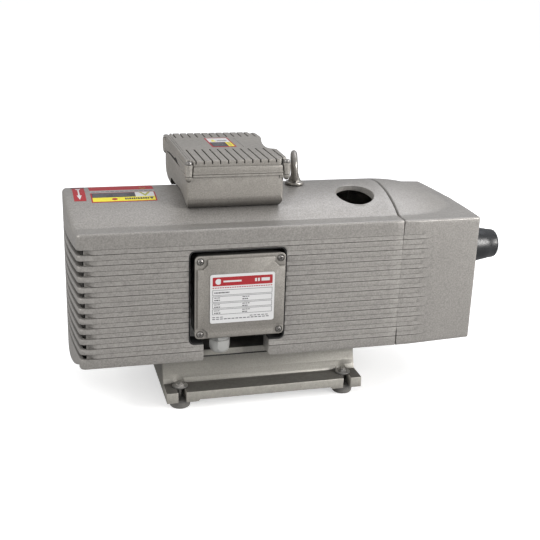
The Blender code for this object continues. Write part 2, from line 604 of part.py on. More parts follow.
def build_cap_body():
    # the underside follows the hood's arch at this distance
    hug = 1.0
    radius = ARCH_R + hug
    across = [-56.0 + 116.0 * k / 12 for k in range(13)]
    under = [(y, CREST_Z + hug - radius + math.sqrt(radius * radius - y * y)) for y in across]
    body = make("capacitor_box_body", prism(
        CAP_FRONT_SIDE + under + CAP_BACK_SIDE, "X", CAP_X0, CAP_X1), PAINT)
    trim(body, "cb_plan", prism(cap_outline(0.0, 3.5), "Z", 200.0, 320.0))
    trim(body, "cb_front_view", prism(CAP_FRONT_VIEW, "Y", CAP_Y0 - 10.0, CAP_Y1 + 10.0))
    cut(body, "cb_hollow", prism(CAP_HOLLOW, "X", CAP_X0 + 5.0, CAP_X1 - 5.0))
    # the underside stays level behind the crest and leaves a wedge open over the arch
    cut(body, "cb_saddle", box(CAP_X0 - 20.0, CAP_X1 + 20.0, -2.0, 60.0, 230.0, 261.5))
    cut(body, "cb_cable_hole", rod(7, 240, 290, "Z", CABLE_AT, 16))
    # screw bosses at the corners, each on a web that reaches into the walls
    for i, (x, y) in enumerate(CAP_SCREWS):
        join(body, f"cb_boss_web_{i}", box(
            min(x, CAP_X1 - 6.0), max(x, CAP_X0 + 6.0),
            min(y - 2.5, CAP_Y1 - 6.0), max(y + 2.5, CAP_Y0 + 6.0), 285.0, CAP_TOP_Z))
    for i, at in enumerate(CAP_SCREWS):
        join(body, f"cb_boss_{i}", turned(
            [(0, 276.5), (2.2, 277.2), (3.9, 280.0), (4.2, 284.0), (4.2, CAP_TOP_Z),
             (0, CAP_TOP_Z)], "Z", at, 12))
    cut(body, "cb_screw_holes", rods(1.9, 281, 300, "Z", CAP_SCREWS, 10))


def build_cap_gasket():
    gasket = make("capacitor_box_gasket", prism(
        cap_outline(1.0, 6.0), "Z", CAP_TOP_Z + GAP, CAP_GASKET_Z1), GASKET)
    cut(gasket, "cg_hole", prism(cap_outline(8.0, 5.0), "Z", 280.0, 300.0))
    cut(gasket, "cg_screw_notches", rods(2.4, 285, 299, "Z", CAP_SCREWS, 10))


def lid_points(rows):
    """Plan points from (edge, x offset, y): edge 0 or 1 picks the lid's left or
    right edge, from which the offset counts."""
    return [((CAP_LID_X0, CAP_LID_X1)[edge] + offset, y) for edge, offset, y in rows]


# rows of (edge, x offset, y), see lid_points
LID_RIM = [
    (0, 3, CAP_LID_Y0), (1, -4, CAP_LID_Y0), (1, -0.5, CAP_LID_Y0 + 4), (1, 0, -6.0),
    (1, -8.0, -2.0), (1, -10.5, 5.0), (1, -10.5, 14.0), (1, -9.4, 25.0), (1, -7.0, 40.0),
    (1, -4.0, 53.0), (1, -1.6, 63.0), (1, -0.5, 74.0), (1, -0.5, CAP_LID_Y1 - 4),
    (1, -4, CAP_LID_Y1), (0, 3, CAP_LID_Y1), (0, 0, CAP_LID_Y1 - 3), (0, 0, 72.0),
    (0, 1.5, 55.0), (0, 1.5, 5.0), (0, 0, -12.0), (0, 0, CAP_LID_Y0 + 3)]
LID_CROWN = [
    (0, 9.0, CAP_LID_Y0 + 3.0), (1, -11.5, CAP_LID_Y0 + 3.0), (1, -11.0, CAP_LID_Y0 + 10.0),
    (1, -3.0, CAP_LID_Y0 + 12.0), (1, -1.5, -7.5), (1, -9.0, -3.5), (1, -12.0, 4.0),
    (1, -12.0, 15.0), (1, -11.0, 26.0), (1, -8.6, 41.0), (1, -5.6, 54.0), (1, -3.2, 64.0),
    (1, -2.0, 74.0), (1, -2.5, CAP_LID_Y1 - 12.0), (1, -11.0, CAP_LID_Y1 - 10.5),
    (1, -11.5, CAP_LID_Y1 - 2.0), (0, 9.0, CAP_LID_Y1 - 2.0), (0, 8.5, CAP_LID_Y1 - 10.5),
    (0, 3.0, CAP_LID_Y1 - 12.0), (0, 5.0, 40.0), (0, 3.0, CAP_LID_Y0 + 12.0),
    (0, 8.5, CAP_LID_Y0 + 10.0)]


def build_cap_lid():
    """Ribbed lid with a waist on both long sides."""
    lid = make("capacitor_box_lid", prism(
        lid_points(LID_RIM), "Z", CAP_LID_Z0, CAP_LID_TOP_Z - 7.0), PAINT)
    join(lid, "cl_top", prism(lid_points(LID_CROWN), "Z", CAP_LID_TOP_Z - 9.0, CAP_LID_TOP_Z))
    # grooves from the front and back edges; the last front one is shorter
    grooves_x = [GROOVE_X + GROOVE_PITCH * k for k in range(GROOVE_COUNT)]
    front_ends = [-1.5] * (GROOVE_COUNT - 1) + [-12.0]
    spans = [(x, CAP_LID_Y0 - 5, end) for x, end in zip(grooves_x, front_ends)]
    spans += [(x, 75.0, CAP_LID_Y1 + 5) for x in grooves_x]
    cut(lid, "cl_grooves", merged([
        box(x - GROOVE_HALF_W, x + GROOVE_HALF_W, y0, y1, GROOVE_FLOOR_Z, 330)
        for x, y0, y1 in spans]))
    cut(lid, "cl_hollow", prism(
        rounded_rect(CAP_X0 + 7.0, CAP_X1 - 9.0, CAP_Y0 + 6.0, CAP_Y1 - 6.0, 5.0, 3),
        "Z", 280.0, CAP_LID_TOP_Z - 6.6))
    for i, at in enumerate(CAP_SCREWS):
        join(lid, f"cl_boss_{i}", rod(4.4, CAP_LID_Z0, GROOVE_FLOOR_Z, "Z", at, 12))
    cut(lid, "cl_screw_holes", rods(2.0, 285, 330, "Z", CAP_SCREWS, 10))
    top = CAP_LID_TOP_Z
    for i, at in enumerate(CAP_SCREWS):
        make(f"capacitor_lid_screw_{i + 1}", turned(
            [(0, 283), (1.6, 283), (1.6, top - 3.8), (3.9, top - 3.8), (3.9, top - 2.0),
             (2.8, top - 0.6), (0, top - 0.2)], "Z", at, 14), STEEL)


def build_capacitor(name, y, x0, x1):
    make(name, turned(
        [(0, x0), (CAN_R - 1, x0), (CAN_R, x0 + 1.5), (CAN_R, x1 - 2), (CAN_R - 1.5, x1),
         (4.5, x1), (4.5, x1 + 4), (0, x1 + 4)], "X", (y, CAN_Z), 24), CAP_PLASTIC)


# ---------------------------------------------------------------- motor
def shaft_ring(profile, segments):
    """Ring about the shaft line."""
    return turned(profile, "X", (0, AXIS_Z), segments, ring=True)


def shaft_rod(radius, x0, x1, segments):
    return rod(radius, x0, x1, "X", (0, AXIS_Z), segments)


def tube(inner_r, outer_r, x0, x1, segments):
    return shaft_ring([(inner_r, x0), (outer_r, x0), (outer_r, x1), (inner_r, x1)], segments)


def build_motor_frame():
    fins = []
    for k in range(FIN_COUNT):
        angle = 2 * math.pi * k / FIN_COUNT
        # (angle offset, radius): root, tip, tip, root of one fin
        for offset, radius in ((-0.075, 62.0), (-0.05, 67.5), (0.05, 67.5), (0.075, 62.0)):
            fins.append((radius * math.cos(angle + offset),
                         AXIS_Z + radius * math.sin(angle + offset)))
    frame = make("motor_frame", prism(fins, "X", -161.0, -5.3), CAST_AL)
    join(frame, "motor_foot", box(-112.0, -52.0, -CASTING_FOOT_HALF_W, CASTING_FOOT_HALF_W,
                                  CASTING_FOOT_Z, 104.0))
    cut(frame, "motor_bore", shaft_rod(57.2, -200, 40, 40))


def build_motor_inside():
    make("stator_core_and_winding", shaft_ring(
        [(37.4, -124), (37.4, -41), (41, -38), (41, -20), (52, -18), (54, -26), (53, -38),
         (56.2, -41), (56.2, -124), (53, -127), (54, -139), (52, -147), (41, -145),
         (41, -127)], 32), COPPER)
    make("motor_end_shield", shaft_ring(
        [(14.0, -178), (30, -178), (36, -172), (64, -170), (66, -166), (66, -161.3),
         (22.4, -161.3), (22.4, -174.3), (14.0, -174.3)], 32), CAST_AL)
    make("rear_bearing", tube(12.5, 22.1, -174, -163, 24), SHAFT_STEEL)


def build_drive_end():
    """Round flange on a straight foot, with the front bearing in it."""
    radius, half_w = 66.0, 48.0
    angle = math.degrees(math.asin(half_w / radius))
    outline = arc(0.0, AXIS_Z, radius, -90 + angle, 270 - angle, 30)
    outline += [(-half_w, CASTING_FOOT_Z), (half_w, CASTING_FOOT_Z)]
    flange = make("drive_end_flange", prism(outline, "X", -5.0, 19.7), CAST_AL)
    cut(flange, "flange_bearing_seat", shaft_rod(25.4, -20, 15.3, 32))
    cut(flange, "flange_bore", shaft_rod(14.0, -21, 30, 24))
    make("front_bearing", tube(12.9, 24.6, 0.3, 15, 24), SHAFT_STEEL)


# ---------------------------------------------------------------- pump
def casting(x0, x1):
    return prism(rounded_rect(-CASTING_HALF_W, CASTING_HALF_W, CASTING_Z0, CASTING_Z1,
                              CASTING_R), "X", x0, x1)


def build_pump_housing():
    plate = make("side_plate_motor_side", casting(20.0, CYL_X0 - GAP), CAST_IRON)
    cut(plate, "sa_bore", shaft_rod(13.4, 10, 50, 24))

    cylinder = make("pump_cylinder", casting(CYL_X0, CYL_X1), CAST_IRON)
    join(cylinder, "cyl_foot", box(50.0, 125.0, -CASTING_FOOT_HALF_W, CASTING_FOOT_HALF_W,
                                   CASTING_FOOT_Z, 100.0))
    cut(cylinder, "cyl_bore", rod(BORE_R, 0, 180, "X", (0, BORE_Z), 64))
    cut(cylinder, "cyl_inlet", turned(
        [(0, 170), (10.5, 170), (10.5, 203.5), (15.2, 203.5), (15.2, 240), (0, 240)],
        "Z", SUCTION_AT, 24))
    cut(cylinder, "cyl_outlet", rod(11, 170, 240, "Z", (75.0, 39.0), 20))

    plate = make("side_plate_cover_side", casting(CYL_X1 + GAP, 158.0), CAST_IRON)
    cut(plate, "sb_seat", shaft_rod(18.4, 148.7, 180, 24))
    cut(plate, "sb_bore", shaft_rod(11.0, 130, 181, 24))
    make("end_bearing", tube(10.4, 18.1, 149, 157, 24), SHAFT_STEEL)


def build_inlet():
    base_z = CASTING_Z1 + GAP
    make("inlet_port", turned(
        [(11.5, base_z), (26.0, base_z), (26.0, 221), (21.0, 222.5), (21.0, 238.0),
         (17.2, 238.0), (17.2, 219.5), (11.5, 219.5)], "Z", SUCTION_AT, 28, ring=True), CAST_AL)
    make("inlet_valve_disc", turned(
        [(0, 210.6), (13.6, 210.6), (14.2, 211.4), (14.2, 213.0), (13.4, VALVE_TOP_Z),
         (0, VALVE_TOP_Z)], "Z", SUCTION_AT, 24), GRAPHITE, origin=(*SUCTION_AT, VALVE_TOP_Z))


# ---------------------------------------------------------------- rotating group
def about_shaft(angle):
    return (Matrix.Translation((0, 0, AXIS_Z)) @ Matrix.Rotation(angle, 4, "X")
            @ Matrix.Translation((0, 0, -AXIS_Z)))


def build_rotating_group():
    origin = (0.0, 0.0, AXIS_Z)
    spin = pivot("rotor_axis", origin)
    make("shaft", turned(
        [(0, -210), (8.4, -210), (9.0, -209), (9.0, -186), (12.1, -186), (12.1, -160),
         (15.8, -159), (15.8, -8), (12.5, -6), (12.5, 141.0), (10.0, 141.6), (10.0, 157),
         (0, 157)], "X", (0, AXIS_Z), 24), SHAFT_STEEL, origin, spin)
    make("motor_rotor", shaft_ring(
        [(16.2, -123), (30, -128), (33, -123), (36.6, -122), (36.6, -43), (33, -42),
         (30, -37), (16.2, -42)], 28), LAMINATE, origin, spin)
    fan = make("cooling_fan", shaft_ring(
        [(9.4, -208), (15.0, -208), (16.0, -192), (58.0, -189), (58.0, -186.6),
         (9.4, -188.5)], 36), FAN_PLASTIC, origin, spin)
    for k in range(FAN_BLADES):
        blade = box(-209.0, -188.2, 14.6, 56.5, AXIS_Z - 1.2, AXIS_Z + 1.2)
        join(fan, f"fan_blade_{k}", moved(blade, about_shaft(2 * math.pi * k / FAN_BLADES)))

    rotor = make("pump_rotor", tube(12.9, ROTOR_R, 36.4, 141.3, 58), CAST_IRON, origin, spin)
    half_vane = VANE_T / 2
    half_slot = half_vane + 0.3
    for k in range(VANE_COUNT):
        turn = about_shaft(2 * math.pi * k / VANE_COUNT + math.radians(15))
        slot = box(30.0, 150.0, 19.0, 55.0, AXIS_Z - half_slot, AXIS_Z + half_slot)
        cut(rotor, f"vane_slot_{k + 1}", moved(slot, turn))
        vane = box(36.8, 140.9, VANE_REST_R, VANE_REST_R + VANE_DEPTH,
                   AXIS_Z - half_vane, AXIS_Z + half_vane)
        make(f"vane_{k + 1}", moved(vane, turn), GRAPHITE, origin, spin, smooth=False)


# ---------------------------------------------------------------- filter, silencer
def build_filter_and_silencer():
    star = []
    for k in range(FILTER_POINTS):
        angle = 2 * math.pi * k / FILTER_POINTS
        radius = 27.0 if k % 2 == 0 else 22.0
        star.append((FILTER_AT[0] + radius * math.cos(angle),
                     FILTER_AT[1] + radius * math.sin(angle)))
    pleats = make("inlet_filter", prism(star, "X", 160.0, 236.0), PAPER, smooth=False)
    cut(pleats, "filter_bore", rod(15, 150, 250, "X", FILTER_AT, 20))
    make("exhaust_silencer", turned(
        [(9, 160), (27, 160), (29, 163), (29, 236), (26, 240), (9, 240)],
        "X", SILENCER_AT, 28, ring=True), CAST_AL)


# ---------------------------------------------------------------- vacuum regulator
def build_regulator():
    make("regulator_body", turned(
        [(3.0, 212.0), (11.5, 212.0), (11.5, 216.0), (10.4, 217.0), (10.4, 256.0),
         (16.0, 256.0), (16.0, 263.6), (10.4, 264.0), (10.4, 283.0), (7.6, 283.0),
         (7.6, 219.0), (3.0, 219.0)], "X", REG_AT, 28, ring=True), SHAFT_STEEL)
    make("regulator_knob", turned(
        [(0, KNOB_END_X - 1.0), (10.0, KNOB_FACE_X), (16.4, KNOB_END_X - 0.8),
         (18.9, KNOB_END_X - 3.4), (24.4, 277.6), (23.8, 275.8), (11.6, 275.8),
         (11.6, 286.0), (3.6, 286.0), (3.6, 262.0), (0, 262.0)],
        "X", REG_AT, 32), KNOB_PLASTIC, (295.0, *REG_AT))
    make("regulator_spring_plate", rod(7.2, 259.5, 256.5, "X", REG_AT, 24), STEEL,
         (258.0, *REG_AT))


def build_spring():
    rings = []
    count = SPRING_TURNS * SPRING_STEPS
    wire_angles = [2 * math.pi * j / WIRE_SEGMENTS for j in range(WIRE_SEGMENTS)]
    for k in range(count + 1):
        angle = 2 * math.pi * k / SPRING_STEPS
        outward = Vector((0, math.cos(angle), math.sin(angle)))
        centre = Vector((SPRING_X0 + (SPRING_X1 - SPRING_X0) * k / count,
                         REG_Y + SPRING_R * math.cos(angle),
                         REG_Z + SPRING_R * math.sin(angle)))
        rings.append([centre + outward * (WIRE_R * math.cos(a))
                      + Vector((WIRE_R * math.sin(a), 0, 0)) for a in wire_angles])
    make("regulator_spring", loft(rings), STEEL)


# ---------------------------------------------------------------- build
build_hood()
build_cover()
build_eyebolt()
build_base()
for depth, y in (("front", -FOOT_Y), ("rear", FOOT_Y)):
    for end, x in (("left", -FOOT_X), ("right", FOOT_X)):
        build_foot(f"{depth}_{end}", x, y)
build_terminal_box()
build_cable_gland()
build_cap_body()
build_cap_gasket()
build_cap_lid()
build_capacitor("run_capacitor", y=-28.0, x0=-82.0, x1=0.0)
build_capacitor("start_capacitor", y=48.0, x0=-84.0, x1=6.0)
build_motor_frame()
build_motor_inside()
build_drive_end()
build_pump_housing()
build_inlet()
build_rotating_group()
build_filter_and_silencer()
build_regulator()
build_spring()
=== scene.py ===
"""Motor unit under a louvred, painted hood and end cover, standing on a foot frame.

It is long in X: the hood's closed, louvred end is at -X (left), the end cover and
its knob at +X (right).  The front, with the terminal box, is at -Y.  The capacitor
box, eyebolt and suction port are on top (+Z), and the feet stand on z = 0.
"""
import json
import math

import bmesh
import bpy
from mathutils import Matrix, Vector


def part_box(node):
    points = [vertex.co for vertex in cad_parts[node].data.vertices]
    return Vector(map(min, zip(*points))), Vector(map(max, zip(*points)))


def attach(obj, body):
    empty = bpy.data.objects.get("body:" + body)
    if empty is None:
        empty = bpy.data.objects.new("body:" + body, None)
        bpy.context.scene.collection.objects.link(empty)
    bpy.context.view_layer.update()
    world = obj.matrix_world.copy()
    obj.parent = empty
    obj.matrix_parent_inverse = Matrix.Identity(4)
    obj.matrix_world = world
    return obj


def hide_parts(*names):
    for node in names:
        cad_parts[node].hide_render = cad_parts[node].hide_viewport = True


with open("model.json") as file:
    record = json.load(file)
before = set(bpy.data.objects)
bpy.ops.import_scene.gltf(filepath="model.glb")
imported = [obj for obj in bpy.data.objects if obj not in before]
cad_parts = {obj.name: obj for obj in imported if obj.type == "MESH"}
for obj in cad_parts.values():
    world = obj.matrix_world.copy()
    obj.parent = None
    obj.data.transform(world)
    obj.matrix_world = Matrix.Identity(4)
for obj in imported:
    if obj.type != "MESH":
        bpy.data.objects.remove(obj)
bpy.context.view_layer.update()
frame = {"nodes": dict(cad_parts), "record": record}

# ------------------------------------------------------------ measures of the frame
# Shapes are laid out in millimetres from the middle of the foot pattern, on the
# plane the feet stand on.  ORIGIN is where the frame's own origin lies in those
# numbers.  Each piece takes its place from the box of the node it stands for.
low_corner, high_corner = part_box("base_frame")
ORIGIN = Vector((-(low_corner.x + high_corner.x) * 500.0,
                 -(low_corner.y + high_corner.y) * 500.0, 0.0))


def node_box(node):
    low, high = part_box(node)
    return low * 1000.0 + ORIGIN, high * 1000.0 + ORIGIN


def node_mid(node):
    low, high = node_box(node)
    return (low + high) / 2.0


HOOD_LO, HOOD_HI = node_box("motor_hood")
COVER_LO, COVER_HI = node_box("end_cover")
BASE_LO, BASE_HI = node_box("base_frame")
TERM_LO, TERM_HI = node_box("terminal_box_lid")
TRAY_LO, TRAY_HI = node_box("terminal_box_body")
CAP_LO, CAP_HI = node_box("capacitor_box_lid")
CBOX_LO, CBOX_HI = node_box("capacitor_box_body")
CBOX_LO = CBOX_LO + Vector((2.7, 2.7, 0.0))  # the wall stands inside the screw bosses
PLATE_LO, PLATE_HI = node_box("nameplate")
PORT = node_mid("inlet_port")
EYE = node_mid("lifting_eyebolt")
KNOB = node_mid("regulator_knob")
GLAND = node_mid("cable_gland_nut")

# hood and cover
HOOD_BULGE = 7.5                        # how far the closed end bows out
BULGE_HALF = 98.0                       # half width over which it bows
HOOD_LEFT_X = HOOD_LO.x + HOOD_BULGE
SEAM_X = HOOD_HI.x                      # joint between hood and cover
HALF_W = HOOD_HI.y
RISE = 24.0                             # of the arched roof
SIDE_TOP_Z = HOOD_HI.z - RISE
SHOULDER_Y = 81.0                       # half chord of the arched roof
HOOD_BOTTOM_Z = COVER_LO.z
LIP_Z = HOOD_LO.z
WALL = 4.5
WALL_LEFT = 0.25                        # least wall left behind a flute
COVER_WALL = 4.0
COVER_HALF = HALF_W - 7.0
COVER_X = COVER_HI.x - 4.0
KINK_X = SEAM_X + 20.0                  # the cover's sides taper from here
DOME_X = COVER_X - 8.5                  # the cover's arch dies out here
PORT_HOLE_R = 24.2

# flutes in the sides, which open into louvres round the closed end
FLUTES = 11
FLUTE_TOP_Z = SIDE_TOP_Z - 25.0
FLUTE_PITCH = 12.76
SLOT_X = HOOD_LEFT_X + 8.0              # louvres are open left of this
RUN_IN = 13.0                           # length over which a flute deepens
RUN_IN_DEPTH = 4.2
# flute: height over its foot, depth; the same two at an open louvre
FLUTE_ROWS = [
    (-0.45, 0.0, -0.6, 0.0), (-0.06, 0.08, -0.1, 0.2), (0.0, 1.6, 0.15, 0.8),
    (0.56, 1.6, 0.45, 1.6), (0.62, 0.35, 3.3, 1.6), (6.0, 0.35, 6.25, 0.8),
    (6.06, 0.8, 6.5, 0.2), (6.4, 0.0, 7.0, 0.0),
]
LOW_ROWS = 5                            # rows of the side below the lowest flute

# recess in the hood's front round the terminal box, and the notch below it
REC_LEFT, REC_RIGHT = TERM_LO.x - 6.0, TERM_HI.x + 2.8
REC_LOW, REC_HIGH = TERM_LO.z - 9.6, TERM_HI.z + 5.0
REC_R = 7.0
REC_WALL = 2.8
NOTCH_LEFT, NOTCH_RIGHT = TERM_LO.x + 12.0, TERM_HI.x - 16.2
RETURN_Y = -79.0                        # how far back the recess wall returns


# ------------------------------------------------------------ materials
def feed(tree, socket, value):
    if isinstance(value, bpy.types.NodeSocket):
        tree.links.new(value, socket)
    else:
        socket.default_value = value


def add_node(tree, kind, inputs, **settings):
    """New node; inputs maps a socket's name or number to a value or a socket."""
    node = tree.nodes.new(kind)
    for key, value in settings.items():
        setattr(node, key, value)
    for key, value in inputs.items():
        feed(tree, node.inputs[key], value)
    return node


def new_material(name):
    material = bpy.data.materials.new(name)
    material.use_nodes = True
    tree = material.node_tree
    return material, tree, tree.nodes.get("Principled BSDF")


def mix_colour(tree, factor, first, second, blend="MIX"):
    inputs = {0: factor, 6: first, 7: second}
    return add_node(tree, "ShaderNodeMix", inputs, data_type="RGBA",
                    blend_type=blend).outputs[2]


def grey(tree, value):
    return add_node(tree, "ShaderNodeCombineColor", dict.fromkeys(range(3), value)).outputs[0]


def remap(tree, value, source, target):
    """Value carried from the source span to the target span."""
    inputs = {"From Min": source[0], "From Max": source[1],
              "To Min": target[0], "To Max": target[1], "Value": value}
    return add_node(tree, "ShaderNodeMapRange", inputs).outputs["Result"]


def calc(tree, operation, first, second):
    return add_node(tree, "ShaderNodeMath", {0: first, 1: second},
                    operation=operation).outputs[0]


NOISE_SPAN = (0.3, 0.7)       # part of the noise range that drives tone and roughness
ROUGH_SPREAD = 0.08
EDGE_WEAR_AND_SHEEN = (0.52, 0.60)     # pointiness from a plain edge to a fully lightened one: wear and a painted highlight
WORN_GLOSS = 0.1              # roughness lost on the lightened edges


def surface(name, colour, rough, metal, grain, spread, bump, depth, wear_and_sheen, wear_colour=None,
            cloud=0.05, stretch=None, crease=0.0, dusk=0.0, under=0.0):
    """Painted, cast, moulded or machined surface: fine grain, slow clouding, and edges lightened
    partly as wear and partly as a painted highlight.

    Three settings paint shade into the colour: one darkens corners and gaps by ambient occlusion,
    one darkens faces that look up, and one those that look down."""
    material, tree, principled = new_material(name)
    coord = add_node(tree, "ShaderNodeTexCoord", {}).outputs["Object"]

    def noise(scale, detail, rough=0.5, stretch=None):
        node = add_node(tree, "ShaderNodeTexNoise",
                        {"Scale": scale, "Detail": detail, "Roughness": rough})
        vector = coord
        if stretch:
            vector = add_node(tree, "ShaderNodeMapping",
                              {"Scale": stretch, "Vector": coord}).outputs["Vector"]
        feed(tree, node.inputs["Vector"], vector)
        return node.outputs["Fac"]

    def shade(base, factor):
        return mix_colour(tree, 1.0, base, grey(tree, factor), "MULTIPLY")

    def shade_by_slope(base, source, target):
        geometry = add_node(tree, "ShaderNodeNewGeometry", {})
        axes = add_node(tree, "ShaderNodeSeparateXYZ", {0: geometry.outputs["Normal"]})
        return shade(base, remap(tree, axes.outputs["Z"], source, target))

    fine = noise(grain, detail=3.0, rough=0.6, stretch=stretch)
    slow = noise(14.0, detail=3.0)
    medium = noise(grain * 0.32, detail=2.0, stretch=stretch)
    tone = calc(tree, "MULTIPLY",
                remap(tree, fine, NOISE_SPAN, (1.0 - spread, 1.0 + spread)),
                remap(tree, slow, NOISE_SPAN, (1.0 - cloud, 1.0 + cloud)))
    base = shade((*colour, 1.0), tone)

    # lighter edge colour: partly wear, partly a painted highlight on the edges
    wear_and_sheen_colour = wear_colour or tuple(min(1.0, c * 1.7 + 0.04) for c in colour)
    geometry = add_node(tree, "ShaderNodeNewGeometry", {})
    edges = remap(tree, geometry.outputs["Pointiness"], EDGE_WEAR_AND_SHEEN, (0.0, 1.0))
    patches = remap(tree, noise(160.0, detail=3.0), (0.35, 0.65), (0.15, 1.0))
    wear_and_sheen_mask = calc(tree, "MULTIPLY", calc(tree, "MULTIPLY", edges, patches), wear_and_sheen)
    base = mix_colour(tree, wear_and_sheen_mask, base, (*wear_and_sheen_colour, 1.0))

    # painted shade: ambient occlusion darkens corners, gaps and spots close to other parts
    if crease:
        occlusion = add_node(tree, "ShaderNodeAmbientOcclusion", {"Distance": 0.028}, samples=8)
        base = shade(base, remap(tree, occlusion.outputs["AO"], (0.15, 0.85),
                                 (1.0 - crease, 1.0)))
    # painted shade: faces that look up are darkened, as where an overhang keeps light off them
    if dusk:
        base = shade_by_slope(base, (0.75, 0.98), (1.0, 1.0 - dusk))
    # painted shade: faces that look down are darkened
    if under:
        base = shade_by_slope(base, (-0.55, -0.06), (1.0 - under, 1.0))
    feed(tree, principled.inputs["Base Color"], base)

    rough_span = (rough - ROUGH_SPREAD, rough + ROUGH_SPREAD)
    roughness = calc(tree, "SUBTRACT", remap(tree, medium, NOISE_SPAN, rough_span),
                     calc(tree, "MULTIPLY", wear_and_sheen_mask, WORN_GLOSS))
    feed(tree, principled.inputs["Roughness"], roughness)
    principled.inputs["Metallic"].default_value = metal
    height = calc(tree, "ADD", fine, calc(tree, "MULTIPLY", medium, 0.8))
    relief = add_node(tree, "ShaderNodeBump",
                      {"Strength": bump, "Distance": depth, "Height": height})
    feed(tree, principled.inputs["Normal"], relief.outputs["Normal"])
    return material


# name, slot, colour, roughness, metallic, grain scale, tone spread of the grain,
# bump strength, bump depth (m), edge lightening (wear and painted highlight), further settings of
# surface()
# the further settings that darken creases, faces looking up and faces looking down are painted
# shade
FINISHES = [
    ("hammer_paint", "paint", (0.292, 0.279, 0.262), 0.41, 0.32, 560.0, 0.20, 0.28, 0.0004, 0.5,
     {"crease": 0.6}),
    ("box_paint", "paint", (0.276, 0.260, 0.236), 0.42, 0.25, 640.0, 0.18, 0.24, 0.0004, 0.4,
     {"crease": 0.6, "under": 0.6}),
    # the box paint darkened to about a third: painted shade for the terminal box's tray deep in the
    # recess
    ("tray_paint", "paint", (0.085, 0.081, 0.075), 0.46, 0.2, 640.0, 0.18, 0.24, 0.0004, 0.4,
     {"crease": 0.6}),
    ("base_paint", "paint", (0.330, 0.317, 0.285), 0.46, 0.20, 640.0, 0.12, 0.20, 0.0004, 0.4,
     {"crease": 0.35, "dusk": 0.68}),
    ("zinc_washer", "zinc_steel", (0.30, 0.295, 0.285), 0.38, 0.75, 700.0, 0.14, 0.10, 0.0002,
     0.6, {}),
    ("zinc_hex", "zinc_steel", (0.42, 0.41, 0.39), 0.32, 0.85, 700.0, 0.14, 0.10, 0.0002, 0.5, {}),
    ("dull_screw", "zinc_steel", (0.22, 0.21, 0.20), 0.40, 0.6, 700.0, 0.16, 0.12, 0.0002, 0.6, {}),
    ("zinc_plate", "zinc_steel", (0.40, 0.39, 0.37), 0.34, 0.9, 700.0, 0.14, 0.10, 0.0002, 0.5, {}),
    ("forged_zinc", "zinc_steel", (0.30, 0.285, 0.265), 0.40, 0.8, 420.0, 0.16, 0.25, 0.0004,
     0.4, {}),
    ("ground_metal", "ground_steel", (0.56, 0.56, 0.56), 0.26, 1.0, 500.0, 0.06, 0.06, 0.0002,
     0.3, {"stretch": (30.0, 1.0, 1.0)}),
    ("cast_alloy", "cast_aluminium", (0.50, 0.50, 0.49), 0.52, 0.8, 520.0, 0.12, 0.35, 0.0005,
     0.4, {}),
    ("grey_iron", "cast_iron", (0.17, 0.17, 0.17), 0.58, 0.6, 420.0, 0.15, 0.40, 0.0005, 0.4, {}),
    ("carbon", "graphite", (0.05, 0.05, 0.055), 0.5, 0.1, 600.0, 0.2, 0.15, 0.0002, 0.3, {}),
    ("varnished_winding", "copper_winding", (0.42, 0.17, 0.07), 0.36, 0.75, 260.0, 0.25, 0.6,
     0.0008, 0.3, {"stretch": (1.0, 8.0, 8.0)}),
    ("stacked_sheet", "laminated_steel", (0.30, 0.30, 0.31), 0.42, 0.85, 900.0, 0.12, 0.4,
     0.0003, 0.3, {"stretch": (6.0, 0.2, 0.2)}),
    ("moulded_rubber", "grey_rubber", (0.165, 0.16, 0.15), 0.75, 0.0, 800.0, 0.12, 0.25, 0.0003,
     0.25, {"cloud": 0.08}),
    ("seal_rubber", "gasket_rubber", (0.02, 0.02, 0.02), 0.7, 0.0, 900.0, 0.2, 0.15, 0.0002,
     0.1, {}),
    ("slate_plastic", "knob_plastic", (0.011, 0.012, 0.0135), 0.34, 0.0, 1200.0, 0.10, 0.10,
     0.0002, 0.3, {"wear_colour": (0.12, 0.125, 0.13)}),
    ("grey_polyamide", "gland_plastic", (0.34, 0.34, 0.33), 0.42, 0.0, 1400.0, 0.05, 0.08,
     0.0002, 0.2, {}),
    ("black_moulding", "black_plastic", (0.022, 0.022, 0.022), 0.5, 0.0, 900.0, 0.15, 0.12,
     0.0002, 0.3, {}),
    ("can_plastic", "capacitor_plastic", (0.72, 0.72, 0.68), 0.4, 0.0, 900.0, 0.04, 0.05,
     0.0002, 0.2, {}),
    ("plate_white", "printed_plate", (0.64, 0.64, 0.64), 0.38, 0.0, 1600.0, 0.03, 0.05, 0.0001,
     0.0, {"cloud": 0.02}),
    ("print_red", "printed_plate", (0.34, 0.014, 0.020), 0.55, 0.0, 1600.0, 0.05, 0.05, 0.0001,
     0.0, {}),
    ("label_white", "printed_plate", (0.62, 0.62, 0.62), 0.36, 0.0, 1600.0, 0.04, 0.05, 0.0001,
     0.0, {}),
    ("print_yellow", "printed_plate", (0.72, 0.64, 0.035), 0.4, 0.0, 1600.0, 0.05, 0.05, 0.0001,
     0.0, {}),
    ("print_dark", "printed_plate", (0.045, 0.042, 0.050), 0.45, 0.0, 1600.0, 0.10, 0.05,
     0.0001, 0.0, {}),
    ("print_grey", "printed_plate", (0.33, 0.32, 0.31), 0.45, 0.0, 1600.0, 0.06, 0.05, 0.0001,
     0.0, {}),
    ("print_olive", "printed_plate", (0.36, 0.36, 0.05), 0.4, 0.0, 1600.0, 0.05, 0.05, 0.0001,
     0.0, {}),
    ("print_rule", "printed_plate", (0.15, 0.15, 0.16), 0.45, 0.0, 1600.0, 0.08, 0.05, 0.0001,
     0.0, {}),
    ("pleated_paper", "filter_paper", (0.70, 0.60, 0.42), 0.9, 0.0, 500.0, 0.08, 0.3, 0.0003,
     0.1, {}),
]
MATERIALS, SLOTS, SLOT_FINISH = {}, {}, {}
